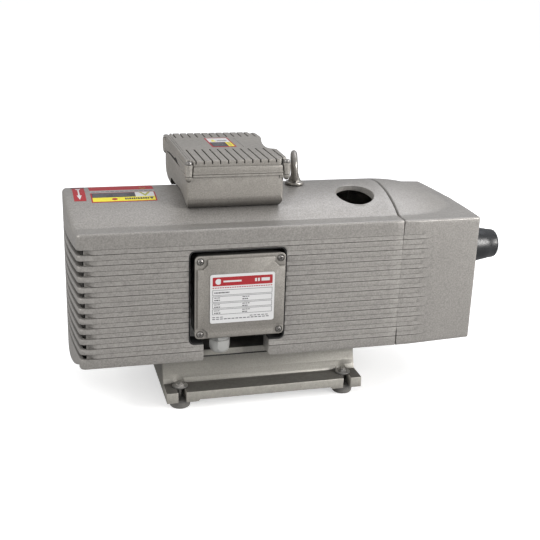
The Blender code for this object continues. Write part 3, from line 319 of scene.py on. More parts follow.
for name, slot, *values, further in FINISHES:
    MATERIALS[name] = surface(name, *values, **further)
    SLOTS[name] = slot
    SLOT_FINISH.setdefault(slot, name)
SLOT_FINISH["zinc_steel"] = "zinc_plate"

# the frame's own pieces take the first finish of their slot, zinc steel the plate
node_slots = {part["node"]: part["material_slot"] for part in frame["record"]["subparts"]}
for name, node_object in frame["nodes"].items():
    node_object.data.materials.clear()
    node_object.data.materials.append(MATERIALS[SLOT_FINISH[node_slots[name]]])


# ------------------------------------------------------------ outlines, in millimetres
def rect(left, right, low, high):
    return [(left, low), (right, low), (right, high), (left, high)]


def arc(x, y, radius, start, end, steps):
    angles = [math.radians(start + (end - start) * k / steps) for k in range(steps + 1)]
    return [(x + radius * math.cos(a), y + radius * math.sin(a)) for a in angles]


def rounded_rect(left, right, low, high, radius, steps=6):
    centres = rect(left + radius, right - radius, low + radius, high - radius)
    centres = centres[1:] + centres[:1]
    return [point for i, (x, y) in enumerate(centres)
            for point in arc(x, y, radius, 90 * i - 90, 90 * i, steps)]


def hexagon(x, y, across_flats, turn):
    radius = across_flats / math.sqrt(3.0)
    return [(x + radius * math.cos(math.radians(60 * k + turn)),
             y + radius * math.sin(math.radians(60 * k + turn))) for k in range(6)]


def mirrored(points):
    """Points in reverse order with their first value negated."""
    return [(-first, *rest) for first, *rest in reversed(points)]


def rounded(corners, steps=4):
    """Outline of (x, y, radius) corners, each radius drawn as a curve."""
    outline = []
    for i, (*point, radius) in enumerate(corners):
        corner = Vector(point)
        back = Vector(corners[i - 1][:2]) - corner
        ahead = Vector(corners[(i + 1) % len(corners)][:2]) - corner
        back_length, ahead_length = back.length, ahead.length
        back.normalize()
        ahead.normalize()
        angle = math.acos(max(-1.0, min(1.0, back.dot(ahead))))
        if radius <= 0 or angle > math.radians(177):
            outline.append(tuple(corner))
            continue
        reach = min(radius / math.tan(angle / 2), 0.48 * back_length, 0.48 * ahead_length)
        start, end = corner + back * reach, corner + ahead * reach
        pull = start * 0.12 + corner * 0.76 + end * 0.12
        for k in range(steps + 1):
            t = k / steps
            outline.append(tuple((1 - t) ** 2 * start + 2 * t * (1 - t) * pull + t * t * end))
    return outline


def inset(corners, distance):
    """Counter-clockwise (x, y, radius) corners moved inwards."""
    moved_in = []
    for i, (*point, radius) in enumerate(corners):
        corner = Vector(point)
        into = (corner - Vector(corners[i - 1][:2])).normalized()
        away = (Vector(corners[(i + 1) % len(corners)][:2]) - corner).normalized()
        first_normal = Vector((-into.y, into.x))
        middle = first_normal + Vector((-away.y, away.x))
        middle.normalize()
        place = corner + middle * (distance / middle.dot(first_normal))
        moved_in.append((place.x, place.y, radius))
    return moved_in


# ------------------------------------------------------------ solids, in millimetres
def on_axis(axis, first, second, height):
    return {"X": (height, first, second), "Y": (first, height, second),
            "Z": (first, second, height)}[axis]


def prism(outline, axis, low, high):
    """Outline, given in the two other axes, drawn along an axis."""
    mesh = bmesh.new()
    start = [mesh.verts.new(on_axis(axis, *point, low)) for point in outline]
    end = [mesh.verts.new(on_axis(axis, *point, high)) for point in outline]
    mesh.faces.new(start)
    mesh.faces.new(list(reversed(end)))
    for i in range(len(outline)):
        j = (i + 1) % len(outline)
        mesh.faces.new((start[j], start[i], end[i], end[j]))
    bmesh.ops.recalc_face_normals(mesh, faces=mesh.faces)
    return mesh


def box(left, right, front, back, low, high):
    return prism(rect(left, right, front, back), "Z", low, high)


def loft(rings):
    mesh = bmesh.new()
    rows = [[mesh.verts.new(point) for point in ring] for ring in rings]
    sides = len(rows[0])
    for row, following in zip(rows, rows[1:]):
        for i in range(sides):
            j = (i + 1) % sides
            mesh.faces.new((row[i], row[j], following[j], following[i]))
    mesh.faces.new(list(reversed(rows[0])))
    mesh.faces.new(rows[-1])
    bmesh.ops.recalc_face_normals(mesh, faces=mesh.faces)
    return mesh


def turned(profile, centre, sides, axis="Z", ring=False):
    """Profile of (radius, height) turned round an axis through the centre."""
    mesh = bmesh.new()

    def at(radius, height, angle):
        offset = on_axis(axis, radius * math.cos(angle), radius * math.sin(angle), height)
        return tuple(c + o for c, o in zip(centre, offset))

    rows = []
    for radius, height in profile:
        if radius < 1e-6:
            rows.append([mesh.verts.new(at(0.0, height, 0.0))])
        else:
            rows.append([mesh.verts.new(at(radius, height, 2 * math.pi * (k + 0.5) / sides))
                         for k in range(sides)])
    pairs = list(zip(rows, rows[1:]))
    if ring:
        pairs.append((rows[-1], rows[0]))
    for row, following in pairs:
        for i in range(sides):
            j = (i + 1) % sides
            if len(row) == 1:
                mesh.faces.new((row[0], following[j], following[i]))
            elif len(following) == 1:
                mesh.faces.new((row[i], row[j], following[0]))
            else:
                mesh.faces.new((row[i], row[j], following[j], following[i]))
    bmesh.ops.recalc_face_normals(mesh, faces=mesh.faces)
    return mesh


def rod(radius, low, high, centre, sides, axis="Z"):
    return turned(rect(0, radius, low, high)[:3] + [(0, high)], centre, sides, axis)


def merged(*parts):
    whole = bmesh.new()
    for part in parts:
        data = bpy.data.meshes.new("tmp")
        part.to_mesh(data)
        part.free()
        whole.from_mesh(data)
        bpy.data.meshes.remove(data)
    return whole


def rods(centres, radius, low, high, sides, axis="Z"):
    return merged(*[rod(radius, low, high, centre, sides, axis) for centre in centres])


def moved(mesh, matrix):
    bmesh.ops.transform(mesh, matrix=matrix, verts=mesh.verts)
    return mesh


def as_object(mesh):
    data = bpy.data.meshes.new("tmp")
    mesh.to_mesh(data)
    mesh.free()
    obj = bpy.data.objects.new("tmp", data)
    bpy.context.scene.collection.objects.link(obj)
    return obj


def baked(obj, *others):
    """Mesh of the object with its modifiers applied; all the objects are removed."""
    result = obj.evaluated_get(bpy.context.evaluated_depsgraph_get())
    mesh = bmesh.new()
    mesh.from_mesh(result.to_mesh())
    result.to_mesh_clear()
    for used in (obj,) + others:
        data = used.data
        bpy.data.objects.remove(used, do_unlink=True)
        bpy.data.meshes.remove(data)
    return mesh


def boolean(operation, body, tools):
    for tool in tools:
        body_object, tool_object = as_object(body), as_object(tool)
        modifier = body_object.modifiers.new("cut", "BOOLEAN")
        modifier.operation = operation
        modifier.solver = "EXACT"
        modifier.object = tool_object
        body = baked(body_object, tool_object)
    return body


def cut(body, *tools):
    return boolean("DIFFERENCE", body, tools)


def join(body, *tools):
    return boolean("UNION", body, tools)


def clip(body, *tools):
    return boolean("INTERSECT", body, tools)


def bevelled(mesh, width, segments, angle):
    obj = as_object(mesh)
    modifier = obj.modifiers.new("edge", "BEVEL")
    modifier.width = width
    modifier.segments = segments
    modifier.limit_method = "ANGLE"
    modifier.angle_limit = math.radians(angle)
    modifier.use_clamp_overlap = True
    modifier.miter_outer = "MITER_ARC"
    return baked(obj)


def skinned(mesh, voxel, smoothing):
    """Overlapping solids fused into one soft skin."""
    obj = as_object(mesh)
    skin = obj.modifiers.new("skin", "REMESH")
    skin.mode = "VOXEL"
    skin.voxel_size = voxel
    soft = obj.modifiers.new("soft", "SMOOTH")
    soft.factor = 0.5
    soft.iterations = smoothing
    return baked(obj)


def drop_loose(mesh):
    loose = [vert for vert in mesh.verts if not vert.link_faces]
    bmesh.ops.delete(mesh, geom=loose, context="VERTS")


def link_mesh(name, data, material):
    data.materials.append(material)
    obj = bpy.data.objects.new(name, data)
    bpy.context.scene.collection.objects.link(obj)
    return obj


def piece(name, mesh, finish, node=None, sharp=34.0, body="housing"):
    """Finished object in metres, riding on body and standing for node if given."""
    bmesh.ops.remove_doubles(mesh, verts=mesh.verts, dist=0.002)
    bmesh.ops.dissolve_degenerate(mesh, edges=mesh.edges, dist=0.001)
    drop_loose(mesh)
    bmesh.ops.recalc_face_normals(mesh, faces=mesh.faces)
    for vert in mesh.verts:
        vert.co = (vert.co - ORIGIN) * 0.001
    data = bpy.data.meshes.new(name)
    mesh.to_mesh(data)
    mesh.free()
    obj = link_mesh(name, data, MATERIALS[finish])
    data.shade_smooth()
    data.set_sharp_from_angle(angle=math.radians(sharp))
    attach(obj, body)
    if node:
        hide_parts(node)


# ------------------------------------------------------------ shape of the two covers
def soft_floor(height, blend=0.9):
    """Height held at or above zero, with a blended foot."""
    near = max(blend - abs(height), 0.0) / blend
    return max(height, 0.0) + near * near * blend * 0.25


def arch_radius(chord, rise):
    return (chord * chord + rise * rise) / (2.0 * rise)


def arch(y, chord=SHOULDER_Y, rise=RISE):
    radius = arch_radius(chord, rise)
    return rise - radius + math.sqrt(max(radius * radius - y * y, 0.0))


def arch_z(y):
    return SIDE_TOP_Z + arch(y)


ARCH_R = arch_radius(SHOULDER_Y, RISE)


def end_path(corner_x, corner_y, radius, angles, toward, end_x, bow, bow_half, bow_ys):
    """(point, outward normal) pairs round a closed end: corner, bowed face, corner.

    toward is the sign of X the end faces."""
    corner = []
    for degrees in angles:
        sine, cosine = math.sin(math.radians(degrees)), math.cos(math.radians(degrees))
        corner.append(((corner_x + toward * radius * sine, -corner_y - radius * cosine),
                       (toward * sine, -cosine)))
    face = []
    for y in bow_ys:
        slope = 2.0 * bow * y / (bow_half * bow_half)
        length = math.hypot(1.0, slope)
        face.append(((end_x + toward * bow * (1.0 - (y / bow_half) ** 2), y),
                     (toward / length, slope / length)))
    far_corner = [((x, -y), (normal_x, -normal_y))
                  for (x, y), (normal_x, normal_y) in reversed(corner)]
    return corner + face + far_corner


def shell(columns, half_width, path, roof, fillet, side_rows, open_bands, wall, place):
    """Closed thin shell: straight sides over the columns, an end along the path, a roof.

    side_rows(point, column, top) gives (inset, z) pairs up to the top fillet,
    open_bands(column, next column) the bands of rows left open, and
    place(point, normal, column, inset, z) the place of a point on the outer skin.
    The column is None on the path."""
    stations = [((x, -half_width(x)), (0.0, -1.0), x) for x in columns]
    stations += [(point, normal, None) for point, normal in path]
    stations += [((x, half_width(x)), (0.0, 1.0), x) for x in reversed(columns)]
    outer, inner, lines, faces = [], [], [], []
    for point, normal, column in stations:
        radius = fillet(point, column)
        top = roof(point[0] - normal[0] * radius, point[1] - normal[1] * radius)
        inside = (point[0] - normal[0] * wall, point[1] - normal[1] * wall)
        ceiling = roof(*inside) - wall
        rows = side_rows(point, column, top - radius)
        for k in range(1, 6):
            angle = math.radians(90.0 * k / 5)
            rows.append((radius * (1.0 - math.cos(angle)),
                         top - radius + radius * math.sin(angle)))
        lines.append(range(len(outer), len(outer) + len(rows)))
        for offset, z in rows:
            outer.append(place(point, normal, column, offset, z))
            inner.append((*inside, min(z, ceiling)))
    for s in range(len(stations) - 1):
        skipped = open_bands(stations[s][2], stations[s + 1][2])
        line, following = lines[s], lines[s + 1]
        faces += [(line[r], following[r], following[r + 1], line[r + 1])
                  for r in range(len(line) - 1) if r not in skipped]

    # the roof is a grid: one row per path point, one column per side column
    across, along = len(path), len(columns)
    grid = [[None] * (along + 1) for _ in range(across)]
    for i in range(across):
        grid[i][along] = lines[along + i][-1]
    for j in range(along):
        grid[0][j] = lines[j][-1]
        grid[-1][j] = lines[-1 - j][-1]
    reach = abs(outer[lines[along][-1]][1])
    knee = SHOULDER_Y + 4.0   # rows outside this are spread to meet the side
    for i in range(1, across - 1):
        for j, x in enumerate(columns):
            y = outer[grid[i][along]][1]
            edge = abs(outer[grid[0][j]][1])
            if abs(y) > knee:
                spread = (abs(y) - knee) * (edge - knee) / (reach - knee)
                y = math.copysign(knee + spread, y)
            grid[i][j] = len(outer)
            outer.append(place((x, y), (0.0, 0.0), x, 0.0, roof(x, y)))
            limit = half_width(x) - wall
            inner_y = max(-limit, min(limit, y))
            inner.append((x, inner_y, roof(x, inner_y) - wall))
    for row, following in zip(grid, grid[1:]):
        faces += [(row[j], row[j + 1], following[j + 1], following[j]) for j in range(along)]

    mesh = bmesh.new()
    outer_verts = [mesh.verts.new(point) for point in outer]
    inner_verts = [mesh.verts.new(point) for point in inner]
    edges = {}
    for face in faces:
        for pair in zip(face, face[1:] + face[:1]):
            edges.setdefault(tuple(sorted(pair)), []).append(pair)
        mesh.faces.new([outer_verts[i] for i in face])
        mesh.faces.new([inner_verts[i] for i in reversed(face)])
    for uses in edges.values():
        if len(uses) == 1:
            i, j = uses[0]
            mesh.faces.new((outer_verts[j], outer_verts[i], inner_verts[i], inner_verts[j]))
    drop_loose(mesh)
    bmesh.ops.remove_doubles(mesh, verts=mesh.verts, dist=0.004)
    bmesh.ops.recalc_face_normals(mesh, faces=mesh.faces)
    return mesh


def side_profile(low, top, ramp=0.0, slotted=False, limit=0.0):
    """(inset, z) from the lower edge to the foot of the top fillet.

    ramp deepens the flutes, slotted opens them out, limit takes depth off them."""
    plain = FLUTE_TOP_Z - FLUTE_PITCH * (FLUTES - 1) - 0.6 - low - 1.0
    rows = [(1.0, low), (0.3, low + 0.3), (0.0, low + 1.0),
            (0.0, low + 1.0 + plain * 0.35), (0.0, low + 1.0 + plain * 0.7)]
    t = 1.0 if slotted else min(1.0, ramp / RUN_IN_DEPTH)
    for k in reversed(range(FLUTES)):
        foot_z = FLUTE_TOP_Z - FLUTE_PITCH * k
        for i, (height, depth, slot_height, slot_depth) in enumerate(FLUTE_ROWS):
            inwards = slot_depth if slotted else depth
            if ramp > 0.0 and 2 <= i <= 5:
                inwards = depth + (slot_depth - depth) * t + ramp
            rows.append((max(0.0, min(inwards, WALL - WALL_LEFT) - limit),
                         foot_z + height + (slot_height - height) * t))
    last = rows[-1][1]
    return rows + [(0.0, last + (top - last) * t) for t in (0.3, 0.7, 1.0)]


def rim_ease(normal, offset, z, ease, side_ease):
    """Offset and height of a point on the rim at the seam, drawn in a little."""
    if normal[1]:
        return offset + (ease if z > 232.0 or z < 95.0 else side_ease), z
    return offset, z - ease


# ------------------------------------------------------------ hood
def hood_shell():
    columns = [SEAM_X, SEAM_X - 0.6, 150.0, 121.0, 95.0, 70.0, 45.0, 20.0, -10.0, -45.0, -80.0,
               -110.0, -140.0, -170.0, -195.0]
    columns += [SLOT_X + step for step in (RUN_IN, 9.0, 5.5, 2.2, 0.0)]
    end_ys = [-96.5, -95.0, -93.5, -91.0, -88.0, -85.5, -83.5, -82.2, -81.2, -80.2, -79.0, -77.0,
              -74.0, -70.0, -64.0, -57.0, -50.0, -46.0, -38.0, -30.0, -20.0, -10.0, -2.0]
    corner = 7.07
    path = end_path(
        corner_x=HOOD_LEFT_X + 6.99, corner_y=HALF_W - corner, radius=corner,
        angles=[81.3 * k / 8 for k in range(9)], toward=-1.0, end_x=HOOD_LEFT_X,
        bow=HOOD_BULGE, bow_half=BULGE_HALF, bow_ys=end_ys + [-y for y in reversed(end_ys)])

    def roof(x, y):
        return SIDE_TOP_Z + soft_floor(arch(y))

    def fillet(point, column):
        if column is not None:
            return 2.6
        return 2.6 + 2.6 * min(1.0, max(0.0, (HALF_W - abs(point[1])) / 12.0))

    def side_rows(point, column, top):
        if column is not None:
            run = max(0.0, (SLOT_X + RUN_IN - column) / RUN_IN)
            return side_profile(HOOD_BOTTOM_Z, top, ramp=RUN_IN_DEPTH * run ** 1.8)
        y = abs(point[1])
        low = HOOD_BOTTOM_Z if y >= 94.9 else LIP_Z + 21.0 * (y / 91.0) ** 2
        return side_profile(low, top, slotted=True)

    def open_bands(*both):
        if any(column is not None and column > SLOT_X + 0.01 for column in both):
            return ()
        return {LOW_ROWS + len(FLUTE_ROWS) * k + i for k in range(FLUTES) for i in (2, 3, 4)}

    def place(point, normal, column, offset, z):
        if column == SEAM_X:
            offset, z = rim_ease(normal, offset, z, 0.6, 0.12)
        return point[0] - normal[0] * offset, point[1] - normal[1] * offset, z

    return shell(columns, lambda x: HALF_W, path, roof, fillet, side_rows, open_bands,
                 WALL, place)


def recess_outline(grow):
    return rounded_rect(REC_LEFT - grow, REC_RIGHT + grow, REC_LOW - grow, REC_HIGH + grow,
                        REC_R + grow)


def notch_outline(grow):
    """Notch open at the hood's lower edge, with rounded lower corners."""
    radius = 3.2
    sides = []
    for x, side in ((NOTCH_LEFT - grow, -1), (NOTCH_RIGHT + grow, 1)):
        points = [(x, REC_LOW + 3.0), (x, HOOD_BOTTOM_Z + radius)]
        for degrees in (22.5, 45, 67.5):
            angle = math.radians(degrees)
            points.append((x + side * (radius - radius * math.cos(angle)),
                           HOOD_BOTTOM_Z + radius - radius * math.sin(angle)))
        points += [(x + side * radius, HOOD_BOTTOM_Z - 0.02),
                   (x + side * radius, HOOD_BOTTOM_Z - 12.0)]
        sides.append(points)
    return sides[0] + sides[1][::-1]


def flared(outline, flare):
    """Cutter through the hood's front, opened out so the rim it leaves is rounded."""
    stations = ((-HALF_W - 9.0, flare), (-HALF_W, flare), (-HALF_W + flare * 0.35, flare * 0.32),
                (-HALF_W + flare * 1.1, 0.0), (-70.0, 0.0))
    return loft([[(x, y, z) for x, z in outline(grow)] for y, grow in stations])


hood = join(hood_shell(),
            prism(recess_outline(REC_WALL), "Y", 2.0 - HALF_W, RETURN_Y),
            box(NOTCH_LEFT - REC_WALL, NOTCH_RIGHT + REC_WALL, -101.5, RETURN_Y + 0.2,
                HOOD_BOTTOM_Z + 1.2, REC_LOW + 1.0))
hood = cut(hood, flared(recess_outline, 0.9), flared(notch_outline, 0.7))
# three upright bars behind the louvres
hood = join(hood, *[box(HOOD_LEFT_X - 3.4, HOOD_LEFT_X + 9.6, y - 1.8, y + 1.8, 78.0, 233.0)
                    for y in (-48.0, 0.0, 48.0)])
# collar and hole for the port, square to the roof
port_at = (Matrix.Translation((PORT.x, PORT.y, arch_z(PORT.y)))
           @ Matrix.Rotation(-math.asin(PORT.y / ARCH_R), 4, "X"))
PORT_COLLAR = rect(PORT_HOLE_R - 1.5, PORT_HOLE_R + 2.2, -8.6, -2.0)
PORT_CUTTER = [(0, -20), (PORT_HOLE_R, -20), (PORT_HOLE_R, -1.6), (PORT_HOLE_R + 0.25, -0.8),
               (PORT_HOLE_R + 0.9, -0.1), (PORT_HOLE_R + 1.7, 0.4), (PORT_HOLE_R + 1.7, 6),
               (0, 6)]
hood = join(hood, moved(turned(PORT_COLLAR, (0, 0, 0), 64, ring=True), port_at))
CAPACITOR_HOLE = (-38, 0, 0)   # hole from the hood into the capacitor box
hood = cut(hood, moved(turned(PORT_CUTTER, (0, 0, 0), 64), port_at),
           rod(5.6, 240, 275, (EYE.x, 0, 0), 32), rod(9, 240, 275, CAPACITOR_HOLE, 32))
piece("hood_panel", hood, "hammer_paint", "motor_hood", sharp=38)

# grooved mat behind the louvres, with a floor that reaches out to the bowed end
MAT_HALF = HALF_W - WALL - 1.2
mat = cut(box(HOOD_LEFT_X + 10.2, HOOD_LEFT_X + 14.6, -MAT_HALF, MAT_HALF,
              HOOD_BOTTOM_Z + 1.5, 231.5),
          merged(*[box(HOOD_LEFT_X + 9.0, HOOD_LEFT_X + 11.2, -94.0, 94.0,
                       80.0 + 6.0 * k, 82.0 + 6.0 * k) for k in range(25)]))
bow_edge = [(HOOD_LEFT_X - HOOD_BULGE * (1.0 - (y / BULGE_HALF) ** 2) + WALL + 0.4, y)
            for y in (-MAT_HALF + 2.5, *range(-80, 81, 20), MAT_HALF - 2.5)]
straight_edge = [(HOOD_LEFT_X + 30.0, MAT_HALF - 2.5), (HOOD_LEFT_X + 30.0, 2.5 - MAT_HALF)]
mat = join(mat, prism(bow_edge + straight_edge, "Z", HOOD_BOTTOM_Z + 2.0, HOOD_BOTTOM_Z + 4.0))
piece("intake_mat", mat, "black_moulding")


# ------------------------------------------------------------ end cover
def cover_half(x):
    return HALF_W - (HALF_W - COVER_HALF) * max(0.0, (x - KINK_X) / (COVER_X - KINK_X))


def cover_roof(x, y):
    t = min(max((x - SEAM_X) / (DOME_X - SEAM_X), 0.0), 0.995)
    chord = max(SHOULDER_Y * math.sqrt(1.0 - t * t), 5.0)
    rise = max(RISE * (1.0 - t ** 2.4), 0.12)
    top = SIDE_TOP_Z - 2.0 * max(0.0, (x - SEAM_X) / (COVER_X - SEAM_X))
    return top + soft_floor(arch(y, chord, rise) if abs(y) < chord * 1.6 else -20.0)


def seam_gap(y, z):
    """Joint: widest over the arch, wider at the lower edge, nearly closed on the sides."""
    if z > SIDE_TOP_Z - 6.0:
        return 2.2 if abs(y) < SHOULDER_Y + 8.0 else 1.1
    if z < 96.0:
        return 0.7
    return -0.25 + 0.9 * max(0.0, (z - 205.0) / 30.0)


def cover_shell():
    corner = 4.0
    corner_x = COVER_X - corner
    rim = (SEAM_X + 0.5, SEAM_X + 0.5 + 0.6)
    columns = [*rim, 168.0, 171.5, 176.0, 180.0, KINK_X]
    columns += [KINK_X + 2.1 * k for k in range(1, 11)]
    while columns[-1] < COVER_X - 9.0:
        columns.append(columns[-1] + 2.7)
    columns = [x for x in columns if x < corner_x - 1.0] + [corner_x]

    corner_y = cover_half(corner_x) - corner
    bow_half = corner_y + corner * math.cos(math.radians(80.0))
    end_x = corner_x + corner * math.sin(math.radians(80.0))
    end_ys = [-bow_half + 1.6, -bow_half + 3.6, -88.0, -84.0] + [-80.0 + 5.0 * k
                                                                for k in range(16)]
    path = end_path(
        corner_x=corner_x, corner_y=corner_y, radius=corner,
        angles=[80.0 * k / 7 for k in range(1, 8)], toward=1.0, end_x=end_x,
        bow=4.0 + (COVER_X - end_x), bow_half=bow_half,
        bow_ys=end_ys + [0.0] + [-y for y in reversed(end_ys)])

    def fillet(point, column):
        return 2.6 if column is not None else 3.2

    def side_rows(point, column, top):
        # the flutes run out on the tapered sides and are gone round the end
        limit = HALF_W - cover_half(point[0]) if column is not None else 99.0
        return side_profile(HOOD_BOTTOM_Z, top, limit=limit)

    def place(point, normal, column, offset, z):
        if column == rim[0]:
            offset, z = rim_ease(normal, offset, z, 0.5, 0.1)
        x, y = point[0] - normal[0] * offset, point[1] - normal[1] * offset
        if column in rim:
            x += seam_gap(y, z)
        return x, y, z

    return shell(columns, cover_half, path, cover_roof, fillet, side_rows,
                 lambda *both: (), COVER_WALL, place)


cover = cut(cover_shell(), rod(10.9, 240, 290, (0, KNOB.y, KNOB.z), 48, "X"))
piece("cover_panel", cover, "hammer_paint", "end_cover", sharp=38)

# ------------------------------------------------------------ lifting eyebolt
EYE_BASE = arch_z(0.0) + 0.35
STEM = [(0, 1.4), (10.2, 1.4), (10.2, 2.6), (8.4, 4.2), (7.0, 7.0), (5.6, 10.5), (4.6, 15.0),
        (0, 15.0)]
COLLAR = [(0, -14), (4.9, -14), (4.9, 0), (10.9, 0), (11.6, 0.5), (11.8, 1.3), (11.8, 2.4),
          (11.4, 3.2), (10.2, 3.7), (8.0, 3.8), (0, 3.8)]
eye_section = [(16.4 + 4.3 * math.cos(2 * math.pi * k / 20), 4.0 * math.sin(2 * math.pi * k / 20))
               for k in range(20)]
stem_at = Matrix.Translation((EYE.x, 0, EYE_BASE))
ring_at = (Matrix.Translation((EYE.x - 1.0, 0, EYE_BASE + 22.6))
           @ Matrix.Rotation(math.radians(-13), 4, "Z") @ Matrix.Rotation(math.radians(-3), 4, "Y"))
eye = merged(moved(turned(STEM, (0, 0, 0), 48), stem_at),
             moved(turned(eye_section, (0, 0, 0), 72, "X", ring=True), ring_at))
piece("eyebolt_ring", skinned(eye, voxel=0.55, smoothing=6), "forged_zinc", "lifting_eyebolt")
piece("eyebolt_collar", turned(COLLAR, (EYE.x, 0, EYE_BASE), 64), "forged_zinc")

# ------------------------------------------------------------ foot frame
FLANGE_Y = HALF_W - 12.5
BOLT_X = node_mid("foot_bolt_front_right").x
BOLT_Y = -node_mid("foot_bolt_front_right").y
SLOT_R = 5.2
# front half of the section: y, z, corner radius
OUTSIDE = [
    (-FLANGE_Y, 14.5, 1.0), (-FLANGE_Y, 26.0, 0.8), (-63.0, 26.0, 0.0), (-60.4, 31.0, 8.0),
    (-57.6, 38.0, 12.0), (-55.0, 47.0, 12.0), (-53.0, 58.0, 12.0), (-52.2, 67.5, 1.5),
    (-78.0, 67.5, 0.8), (-78.0, 75.5, 0.8),
]
INSIDE = [(-44.0, 61.5, 2.0), (-44.5, 56.0, 6.0), (-46.0, 44.0, 8.0), (-49.0, 32.0, 6.0),
          (-53.0, 14.5, 1.0)]
END_WALL = [(-59.5, 12.7, 1.0), (-59.5, 27.0, 0), (-49.8, 34.0, 0), (-48.8, 50.0, 0),
            (-48.5, 69.5, 0)]
SPOT_FACE = [(0, 26.02), (12.2, 26.02), (13.0, 30.0), (14.6, 44.0), (0, 44.0)]
CORNER_SIGNS = [(end, side) for end in (-1, 1) for side in (-1, 1)]

base = prism(rounded(OUTSIDE + mirrored(OUTSIDE) + mirrored(INSIDE) + INSIDE), "X",
             BASE_LO.x, BASE_HI.x)
end_wall = rounded(END_WALL + mirrored(END_WALL), 3)
for end in (-1, 1):
    low, high = sorted((end * BASE_HI.x, end * (BASE_HI.x - 5.5)))
    base = join(base, prism(end_wall, "X", low + 0.01, high - 0.01))
for end, side in CORNER_SIGNS:   # thicker pads over the feet
    outer_x, inner_x = end * (BASE_HI.x - 0.02), end * (BASE_HI.x - 41.0)
    pad = [(inner_x, 16.5), (inner_x, 14.3), (inner_x + end * 1.8, BASE_LO.z),
           (outer_x, BASE_LO.z), (outer_x, 16.5)]
    base = join(base, prism(pad, "Y", *sorted((side * (FLANGE_Y - 0.02), side * 55.0))))
slots = []
for end, side in CORNER_SIGNS:
    x, y = end * BOLT_X, side * BOLT_Y
    mouth = [(x - SLOT_R, side * 120.0), (x + SLOT_R, side * 120.0)]
    slots.append(prism(mouth + arc(x, y, SLOT_R, 0, side * -180, 16), "Z", 5.0, 34.0))
spot_faces = [turned(SPOT_FACE, (end * BOLT_X, side * BOLT_Y, 0.0), 48)
              for end, side in CORNER_SIGNS]
base = bevelled(cut(base, merged(*slots), merged(*spot_faces)), 0.7, 2, 40.0)
piece("foot_frame", base, "base_paint", "base_frame", sharp=30)

# rubber foot, washer and bolt at each corner; heights of the last two from the washer
WASHER = [(3.3, 0), (9.2, 0), (9.7, 0.3), (9.7, 1.4), (9.3, 1.75), (3.3, 1.75)]
HEAD_DOME = [(0, 1.7), (5.55, 1.7), (6.3, 2.1), (6.3, 4.6), (5.2, 5.2), (4.6, 5.35), (4.2, 5.35),
             (3.9, 5.15), (2.9, 5.1), (2.9, 5.85), (2.4, 6.2), (0, 6.2)]
for label, turn in (("front_left", 12.0), ("front_right", -8.0), ("rear_left", 25.0),
                    ("rear_right", 3.0)):
    low, high = node_box("rubber_foot_" + label)
    x, y = (low.x + high.x) / 2, (low.y + high.y) / 2
    radius, top = (high.x - low.x) / 2, high.z
    foot = [(0, 0.9), (5.5, 0.9), (6.2, 0), (radius - 2.4, 0), (radius - 1.3, 0.35),
            (radius - 0.5, 1.1), (radius - 0.1, 2.1), (radius, 3.2), (radius, top - 1.4),
            (radius - 0.25, top - 0.7), (radius - 0.9, top - 0.15), (radius - 1.6, top),
            (3.6, top), (3.6, 4.0), (0, 4.0)]
    piece("foot_pad_" + label, turned(foot, (x, y, 0.0), 56), "moulded_rubber",
          "rubber_foot_" + label)
    washer_z = node_box("foot_bolt_" + label)[1].z - 6.2
    piece("foot_washer_" + label, turned(WASHER, (x, y, washer_z), 48, ring=True),
          "zinc_washer")
    shank = [(0, 5.0), (2.6, 5.0), (3.0, 5.6), (3.0, washer_z + 2.7), (0, washer_z + 2.7)]
    bolt = clip(prism(hexagon(x, y, 10.0, turn), "Z", washer_z + 1.8, washer_z + 6.3),
                turned(HEAD_DOME, (x, y, washer_z), 48))
    bolt = join(bolt, turned(shank, (x, y, 0.0), 24))
    piece("foot_bolt_" + label + "_hex", bolt, "zinc_hex", "foot_bolt_" + label, sharp=28)

# ------------------------------------------------------------ terminal box
# black lining over the recess walls round the terminal box: partly a black rubber trim, partly
# painted shade that keeps the deep recess dark
trim_and_shade = cut(
    prism(recess_outline(-0.15), "Y", 0.9 - HALF_W, RETURN_Y - 1.0),
    prism(rounded_rect(REC_LEFT + 1.5, REC_RIGHT - 1.3, REC_LOW + 1.5, REC_HIGH - 1.5,
                       REC_R - 1.5), "Y", -HALF_W - 2.0, RETURN_Y + 4.0),
    box(NOTCH_LEFT - 0.8, NOTCH_RIGHT + 0.4, -HALF_W - 3.0, RETURN_Y + 6.0,
        REC_LOW - 4.0, REC_LOW + 2.2))
piece("recess_trim_and_shade", trim_and_shade, "seal_rubber")
# black strips just under the edge of the frame's top plate: painted shadow line under the plate's
# overhang
for label, front, back in (("front", -77.6, -74.0), ("rear", 74.0, 77.6)):
    piece("shadow_line_strip_" + label,
          box(BASE_LO.x + 3.0, BASE_HI.x - 3.0, front, back, 65.9, 67.55), "seal_rubber")

SCREW_EDGE = 6.3   # screws from the lid's edges
TERM_SCREWS = [(x, 0, z) for z in (TERM_LO.z + SCREW_EDGE, TERM_HI.z - SCREW_EDGE)
               for x in (TERM_LO.x + SCREW_EDGE, TERM_HI.x - SCREW_EDGE)]
GLAND_AT = (GLAND.x, GLAND.y, 0)
FRONT = TERM_LO.y


def tray_outline(margin, radius):
    return rounded_rect(TRAY_LO.x + margin, TRAY_HI.x - margin, TRAY_LO.z + margin,
                        TRAY_HI.z - margin, radius)


tray = bevelled(prism(tray_outline(0, 5.0), "Y", TRAY_LO.y, TRAY_HI.y), 0.8, 2, 60)
tray = cut(tray, prism(tray_outline(3, 9.0), "Y", -120.0, TRAY_HI.y - 3.0),
           rod(8.4, 90, 112, GLAND_AT, 32), rods(TERM_SCREWS, 2.1, -110, -90, 20, "Y"))
# painted shade: the tray takes the darkened box paint
piece("terminal_tray", tray, "tray_paint", "terminal_box_body")


